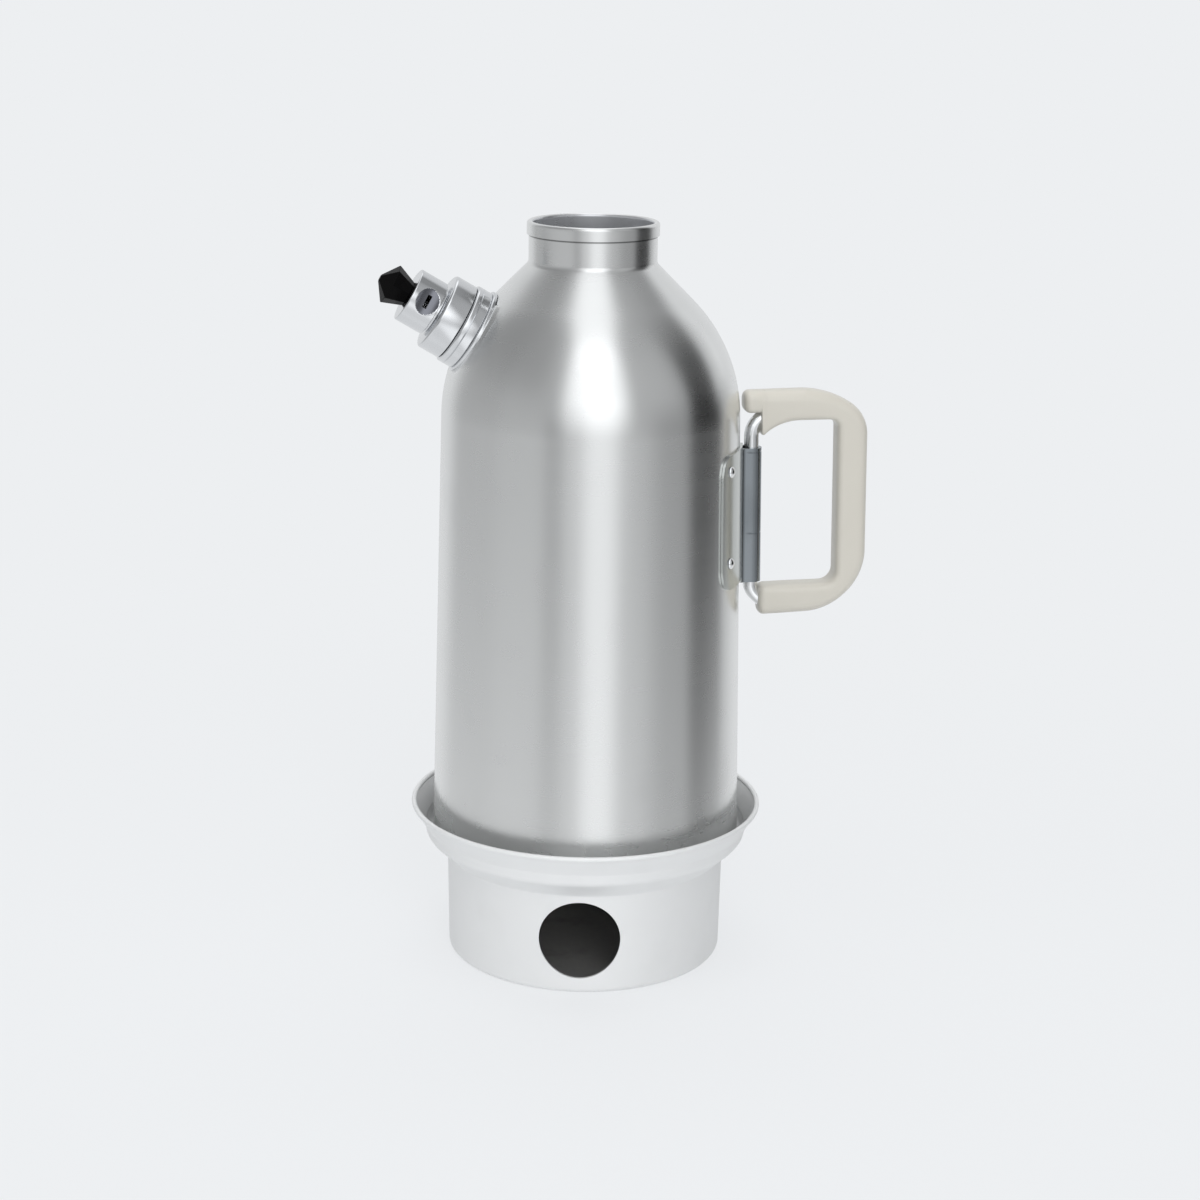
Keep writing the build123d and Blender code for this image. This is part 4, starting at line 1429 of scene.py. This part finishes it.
        # The whole strip first gets the painted shade; the wings then get the brighter copy.
        strip = shop.make(self.strip(), "hinge_strip", (*role, "handle_bracket"), SHADED_BARREL_STEEL)
        shop.paint_faces(strip, PLATE_STEEL, np.abs(face_middles(strip)[:, 1]) > self.wing_root)
        shop.make(self.rivets(), "plate_rivets", (*role, "bracket_rivets"), BRIGHT_STEEL)
        shop.repaint(BRIGHT_STEEL, "rivet_washers")


@dataclass
class Handle:
    """The swinging handle: a bent rod whose two tails end inside a moulded grip.

    Places are (out, up) in the plane through the pin, from the pin's middle.
    """

    rod_radius: float = 0.0035
    rod_top_bend: float = 0.0100
    rod_foot_bend: float = 0.0080
    rod_top_tail: float = 0.0150
    rod_foot_tail: float = 0.0280
    rod_play: float = 0.0010
    rod_pitch: float = 0.0020
    rod_foot_turn: float = math.radians(45.0)
    rod_top: float = 0.0474
    rod_foot: float = -0.0430
    top_edge: float = 0.0593
    top_under: float = 0.0447
    foot_edge: float = -0.0490
    foot_over: float = -0.0341
    bar_outside: float = 0.0550
    bar_inside: float = 0.0399
    top_end: float = -0.0042
    foot_end: float = 0.0032
    top_shoulder: float = 0.0350
    top_shoulder_drop: float = 0.0123
    foot_shoulder: float = 0.0360
    foot_shoulder_rise: float = 0.0170
    foot_lift: float = 0.0010
    outer_bends: tuple[float, ...] = (0.044, 0.018, 0.028, 0.028)
    notch_height: float = 0.0488
    flare_tip: float = 0.0370
    flare_width: float = 0.0082
    notch_lean: float = 0.0004
    rod_gap: float = 0.0006
    inner_bends: tuple[float, ...] = (0.0008, 0.0009, 0.0240, 0.0040, 0.0060)
    depth: float = 0.0124
    edge_height: float = 0.0060
    swell: float = 0.0020
    end_round: float = 0.0030
    outer_power: float = 2.6
    rod_side_power: float = 4.0
    shoulder_lead: float = 0.0100
    bar_marks: Point = (0.0380, -0.0200)
    foot_mark: float = 0.0287
    mark_counts: tuple[int, ...] = (28, 40, 28, 24)
    swell_run: Point = (0.0040, 0.0180)
    dome_share: float = 0.97
    pitch: float = 0.0008

    def in_plane(self, line: Array) -> Array:
        """Points of an (out, up) line in space."""
        return HINGE.origin + line[:, :1] * HINGE.zero + line[:, 1:] * HINGE.along

    def rod(self) -> Form:
        """The rod: a circle carried along its bent path."""
        foot_tangent = self.rod_foot_bend * math.tan(self.rod_foot_turn / 2.0)
        start = -BARREL_LENGTH / 2.0 - self.rod_play - foot_tangent
        corners = [
            (self.rod_top_tail, self.rod_top), (0.0, self.rod_top), (0.0, start),
            (start - self.rod_foot, self.rod_foot), (self.rod_foot_tail, self.rod_foot),
        ]
        line = rounded(corners, [self.rod_top_bend, self.rod_foot_bend, self.rod_foot_bend], 16)
        path = self.in_plane(evened(line, self.rod_pitch))
        return Form().capped(swept(path, -HINGE.side, circle(self.rod_radius, 32)))

    def outer_edge(self) -> Array:
        """Outer edge of the grip's side view, with each corner made of two arcs."""
        corners = [
            (self.top_end, self.top_edge), (self.top_shoulder, self.top_edge),
            (self.bar_outside, self.top_edge - self.top_shoulder_drop),
            (self.bar_outside, self.foot_edge + self.foot_shoulder_rise),
            (self.foot_shoulder, self.foot_edge + self.foot_lift), (self.foot_end, self.foot_edge),
        ]
        return rounded(corners, self.outer_bends, 24)

    def inner_edge(self) -> Array:
        """Inner edge: a notch over the rod, the flare beside it, the arms and the bar."""
        beside_rod = self.rod_radius + self.rod_gap
        corners = [
            (self.top_end, self.notch_height), (beside_rod - self.notch_lean, self.notch_height),
            (beside_rod, self.flare_tip), (beside_rod + self.flare_width, self.top_under),
            (self.bar_inside, self.top_under), (self.bar_inside, self.foot_over),
            (self.foot_end, self.foot_over),
        ]
        return rounded(corners, self.inner_bends, 16)

    def mark_length(self, line: Array, arm: int, place: float) -> float:
        """Length along an edge of the grip at which it passes a mark.

        Args:
            line: the edge, with fine points.
            arm: 1 for a mark on the top arm, -1 on the foot arm, 0 on the bar.
            place: how far out the mark is on an arm, or how high up it is on the bar.
        """
        if arm:
            gap, elsewhere = np.abs(line[:, 0] - place), line[:, 1] * arm < 0.0
        else:
            gap, elsewhere = np.abs(line[:, 1] - place), line[:, 0] < 0.5 * self.bar_inside
        return lengths_along(line)[np.argmin(np.where(elsewhere, np.inf, gap))]

    def edges(self) -> tuple[Array, Array]:
        """Both edges point for point.

        On the top arm a point of the outer edge stands straight above its partner. After
        that the edges are split at the same marks, near the ends of the outer corners, and
        partners have equal shares of the way between two marks.
        """
        outer, inner = self.outer_edge(), evened(self.inner_edge(), self.pitch)
        first = self.top_shoulder - self.shoulder_lead
        arm = inner[:np.argmax(inner[:, 0] > first)]
        marks = [(1, first), *((0, up) for up in self.bar_marks), (-1, self.foot_mark), (-1, self.foot_end)]
        lengths = []
        for line in (outer, inner):
            fine = evened(line, 0.5 * self.pitch)
            places = [self.mark_length(fine, arm_side, place) for arm_side, place in marks]
            stretches = [
                np.linspace(low, high, count, endpoint=False)
                for low, high, count in zip(places, places[1:], self.mark_counts)
            ]
            lengths.append(np.concatenate(stretches + [places[-1:]]))
        above = np.stack([arm[:, 0], np.full(len(arm), self.top_edge)], axis=1)
        return (
            np.concatenate([above, at_lengths(outer, lengths[0])]),
            np.concatenate([arm, at_lengths(inner, lengths[1])]),
        )

    def grip(self) -> Form:
        """The grip: a rounded section carried between its two edges, with domed ends.

        The section's edges are halves of a superellipse, where powers of out and across add
        up to one, squarer towards the rod; a taller section is flat between them. Over each
        end it shrinks by the radius less its cosine while it moves on by the sine.
        """
        outer, inner = self.edges()
        middle, size = 0.5 * (outer + inner), 0.5 * np.linalg.norm(outer - inner, axis=1)
        way = unit(outer - inner)
        depth = 0.5 * (self.depth + self.swell * smooth_step(middle[:, 0], *self.swell_run))
        dome = np.linspace(0.0, math.pi / 2.0, 7)[1:] * self.dome_share
        ahead, less = self.end_round * np.sin(dome), self.end_round * (1.0 - np.cos(dome))
        starts = middle[0] - np.array([1.0, 0.0]) * (ahead[::-1, None] - self.end_round)
        finishes = middle[-1] - np.array([1.0, 0.0]) * (ahead[:, None] - self.end_round)
        inside = middle[:, 0] > np.where(middle[:, 1] > 0.0, self.top_end, self.foot_end) + self.end_round
        middle, size, way, depth = middle[inside], size[inside], way[inside], depth[inside]
        middle = np.concatenate([starts, middle, finishes])
        size = np.concatenate([size[0] - less[::-1], size, size[-1] - less])
        depth = np.concatenate([depth[0] - less[::-1], depth, depth[-1] - less])
        way = np.concatenate([np.repeat(way[:1], len(dome), 0), way, np.repeat(way[-1:], len(dome), 0)])
        around = full_turn(56, -0.5)
        power = 2.0 / np.where(np.cos(around) > 0.0, self.outer_power, self.rod_side_power)
        out = np.abs(np.cos(around)) ** power
        across = np.sign(np.sin(around)) * np.abs(np.sin(around)) ** power
        ways = way[:, :1] * HINGE.zero + way[:, 1:] * HINGE.along
        curved = np.minimum(size, self.edge_height)
        reach = np.sign(np.cos(around)) * ((size - curved)[:, None] + curved[:, None] * out)
        grid = (
            self.in_plane(middle)[:, None]
            + reach[..., None] * ways[:, None]
            + (depth[:, None] * across)[..., None] * HINGE.side
        )
        return Form().capped(grid)

    def build(self, shop: Shop) -> None:
        """Make rod and grip."""
        shop.make(self.rod(), "bent_rod", ("handle", "bright_steel", "handle_rod"), BRIGHT_STEEL)
        places = ("handle", "cream_plastic", "handle_grip")
        shop.make(self.grip(), "moulded_grip", places, CREAM_PLASTIC, crease=50.0)


# ---- studio
@dataclass
class Camera:
    """The camera's place and aim; angles in radians, lengths in metres."""

    distance: float = 1.13959
    height: float = 0.48562
    pitch: float = math.radians(15.3933)
    yaw: float = math.radians(0.2788)
    roll: float = math.radians(0.8728)
    focal_pixels: float = 2506.82
    sensor: float = 36.0

    def build(self) -> None:
        """Place the camera: it looks in at the axis, pitched down, then rolled about its view."""
        data = bpy.data.cameras.new("view")
        data.sensor_fit = "HORIZONTAL"
        data.sensor_width = self.sensor
        data.lens = self.focal_pixels / IMAGE_WIDTH * self.sensor
        data.clip_end = 50.0
        camera = bpy.data.objects.new("view", data)
        inward = VIEW_AZIMUTH + math.pi - self.yaw
        forward = Vector(
            (
                math.cos(inward) * math.cos(self.pitch),
                math.sin(inward) * math.cos(self.pitch),
                -math.sin(self.pitch),
            )
        )
        level = forward.cross(Vector((0, 0, 1))).normalized()
        upward = level.cross(forward)
        right = level * math.cos(self.roll) + upward * math.sin(self.roll)
        above = upward * math.cos(self.roll) - level * math.sin(self.roll)
        turned = Matrix((right, above, -forward)).transposed().to_4x4()
        place = Vector((math.cos(VIEW_AZIMUTH), math.sin(VIEW_AZIMUTH), 0)) * self.distance
        place.z = self.height
        camera.matrix_world = Matrix.Translation(place) @ turned
        bpy.context.scene.collection.objects.link(camera)
        bpy.context.scene.camera = camera


def part_along(east: Value, north: Value, turn: float) -> Value:
    """A direction's part along the level one that is so many degrees right of the view."""
    angle = VIEW_AZIMUTH + math.radians(turn)
    return east * math.cos(angle) + north * math.sin(angle)


@dataclass(frozen=True)
class Panel:
    """A soft upright panel that stands in the surroundings, seen from the object.

    Attributes:
        turn: degrees to the right of the view.
        half_width: degrees from its middle to the middle of its faded edge.
        fade: half the width of its faded edge in degrees.
        level: what it adds to the room's level, or takes from it.
        foot: elevations in degrees between which it fades in from below.
        head: elevations in degrees between which it fades out again.
    """

    turn: float
    half_width: float
    fade: float
    level: float
    foot: Point | None = None
    head: Point | None = None

    def width_share(self, x: Value, y: Value) -> Value:
        """The share across its width, from the cosine of the level angle to its middle."""
        flat = (x * x + y * y + 1e-6) ** 0.5
        outer = math.cos(math.radians(min(self.half_width + self.fade, 180.0)))
        inner = math.cos(math.radians(max(self.half_width - self.fade, 0.0)))
        return part_along(x / flat, y / flat, self.turn).eased(outer, inner)

    def share(self, x: Value, y: Value, z: Value) -> Value:
        """How far a direction looks into the panel: 0 beside it, 1 inside its faded edges."""
        share = self.width_share(x, y)
        for edge in (self.foot, self.head and self.head[::-1]):
            if edge:
                share = share * z.eased(*np.sin(np.radians(edge)).tolist())
        return share


@dataclass(frozen=True)
class Strip(Panel):
    """A long straight panel that passes overhead.

    Its turn is the way its narrow side points. Its half width and fade are parts of a unit
    direction along that side, not degrees.

    Attributes:
        place: the part along that side at the strip's middle line.
        beside: degrees to the right of the view of the side it keeps to.
    """

    place: float = 0.0
    beside: float | None = None

    def width_share(self, x: Value, y: Value) -> Value:
        """The share across its width, from the direction's part along its narrow side."""
        from_middle = abs(part_along(x, y, self.turn) - self.place)
        return from_middle.eased(self.half_width + self.fade, self.half_width - self.fade)

    def share(self, x: Value, y: Value, z: Value) -> Value:
        """As for any panel, and faded out past the side that the strip keeps to."""
        share = super().share(x, y, z)
        if self.beside is not None:
            share = share * part_along(x, y, self.beside).eased(0.0, 0.3)
        return share


@dataclass(frozen=True)
class Lamp:
    """A soft rectangular lamp that faces the object's middle.

    Attributes:
        name: the lamp's name.
        turn: degrees to the right of the view, seen from above the object's axis.
        distance: how far it stands from the axis.
        height: how high it stands.
        size: width and height of its face.
        power: its power in watts.
    """

    name: str
    turn: float
    distance: float
    height: float
    size: Point
    power: float

    def build(self, aim: Vector) -> None:
        """Place the lamp; metal mirrors the panels instead of it."""
        angle = VIEW_AZIMUTH + math.radians(self.turn)
        place = Vector((math.cos(angle) * self.distance, math.sin(angle) * self.distance, self.height))
        data = bpy.data.lights.new(self.name, "AREA")
        data.shape = "RECTANGLE"
        data.size, data.size_y = self.size
        data.energy = self.power
        lamp = bpy.data.objects.new(self.name, data)
        facing = (aim - place).to_track_quat("-Z", "Y").to_matrix().to_4x4()
        lamp.matrix_world = Matrix.Translation(place) @ facing
        lamp.visible_glossy = False
        bpy.context.scene.collection.objects.link(lamp)


@dataclass
class Studio:
    """Pale floor and backdrop, soft lamps, and panels that the bare metal mirrors."""

    lamps: tuple[Lamp, ...] = (
        Lamp("tall_key", 12.0, 1.5, 0.75, (0.34, 1.3), 7.0),
        Lamp("ceiling", 0.0, 0.0, 1.9, (1.8, 1.8), 11.5),
        Lamp("left_fill", -62.0, 1.7, 0.9, (0.9, 1.0), 4.0),
    )
    aim_height: float = 0.17
    backdrop: Colour = (0.847, 0.863, 0.880)
    room: float = 0.46
    floor_glow: float = 0.38
    ceiling_shade: float = 0.03
    floor_radius: float = 4.0
    floor_drop: float = 0.0001
    panels: tuple[Panel, ...] = (
        Panel(8.0, 9.3, 8.5, 0.345, head=(10.0, 30.0)),
        Panel(4.0, 23.0, 9.0, 0.9, foot=(-11.5, 16.0), head=(45.0, 65.0)),
        Panel(54.0, 14.0, 8.0, 0.06, foot=(4.0, 14.0), head=(38.0, 55.0)),
        Panel(-27.0, 6.0, 4.0, -0.16, foot=(-22.0, -16.0), head=(-4.0, 10.0)),
        Panel(-55.0, 16.0, 12.0, 0.04),
        Panel(-82.0, 42.0, 12.0, -0.13, foot=(5.0, 36.0), head=(60.0, 80.0)),
        Panel(76.0, 24.0, 13.0, -0.18, head=(-8.0, 16.0)),
        Panel(101.0, 17.0, 7.0, -0.48, foot=(-26.0, -10.0), head=(-4.0, 5.0)),
        Panel(128.0, 10.0, 5.0, 0.22, foot=(0.0, 6.0), head=(30.0, 45.0)),
        Panel(-178.0, 48.0, 14.0, 0.32, foot=(-26.0, -8.0), head=(55.0, 80.0)),
        Strip(94.0, 0.24, 0.10, 0.75, foot=(33.0, 58.0)),
        Strip(0.0, 0.27, 0.08, -0.38, foot=(-5.0, 5.0), head=(22.0, 90.0), place=-0.135, beside=90.0),
    )

    def world(self) -> None:
        """Surroundings: the backdrop's colour to the camera, and the room with its panels."""
        world = bpy.data.worlds.new("surroundings")
        graph = Graph(world)
        direction = graph.node("ShaderNodeTexCoord", output="Generated")
        x, y, z = graph.parts(direction)
        level = self.room + z.eased(-0.15, -0.43) * self.floor_glow
        level = level - z.eased(0.05, 0.75) * self.ceiling_shade
        for panel in self.panels:
            level = level + panel.share(x, y, z) * panel.level
        room = graph.node(
            "ShaderNodeVectorMath",
            {"operation": "SCALE"},
            {0: (0.985, 1.0, 1.015), "Scale": level.positive()},
        )
        shown = graph.tint(graph.ray("Is Camera Ray"), room, self.backdrop)
        light = graph.node("ShaderNodeBackground", None, {"Color": shown, "Strength": 1.0})
        graph.node("ShaderNodeOutputWorld", None, {"Surface": light})
        bpy.context.scene.world = world

    def floor(self) -> None:
        """A round pale floor that keeps a soft shadow near the object and fades into the backdrop."""
        rings = np.array([0.0, 0.25, 0.6, 1.2, 2.4, self.floor_radius])
        height = np.full((len(rings), 1), -self.floor_drop)
        grid = UPRIGHT.points(rings[:, None], full_turn(96)[None], height)
        floor = Form().add(grid, quads(*grid.shape[:2], False, True)).to_object("pale_floor")
        made = bpy.data.materials.new("pale_floor")
        graph = Graph(made)
        x, y, z = graph.axes()
        radius = (x * x + y * y) ** 0.5
        seen = (graph.ray("Is Camera Ray") + graph.ray("Is Glossy Ray")).clamped() * 0.6 + 0.4
        grain = graph.noise(x * 300.0, y * 300.0, 0.0, 3.0)
        base = graph.tint(grain, (0.77, 0.785, 0.80), (0.80, 0.815, 0.83))
        matte = graph.node("ShaderNodeBsdfPrincipled", None, {"Base Color": base, "Roughness": 0.9})
        bright = graph.node("ShaderNodeEmission", None, {"Color": (*self.backdrop, 1.0), "Strength": 1.0})
        share = seen * (radius.eased(0.12, 0.70) * 0.20 + 0.80)
        mixed = graph.node("ShaderNodeMixShader", None, {0: share, 1: matte, 2: bright})
        graph.node("ShaderNodeOutputMaterial", None, {"Surface": mixed})
        floor.data.materials.append(made)
        floor.visible_glossy = False

    def build(self) -> None:
        """Make the whole studio."""
        self.world()
        self.floor()
        for lamp in self.lamps:
            lamp.build(Vector((0.0, 0.0, self.aim_height)))
        bpy.context.scene.view_settings.view_transform = "Standard"


def main() -> None:
    """Build the sub-assemblies in order, then the camera and the studio."""
    logging.basicConfig(level=logging.INFO, format="%(name)s: %(message)s")
    shop = Shop()
    bottle = Bottle()
    spout = Spout()
    FireBase().build(shop)
    bottle.build(shop)
    spout.build(shop)
    Cap(spout).build(shop)
    Bracket(bottle).build(shop)
    Handle().build(shop)
    Camera().build()
    Studio().build()


if __name__ == "__main__":
    main()
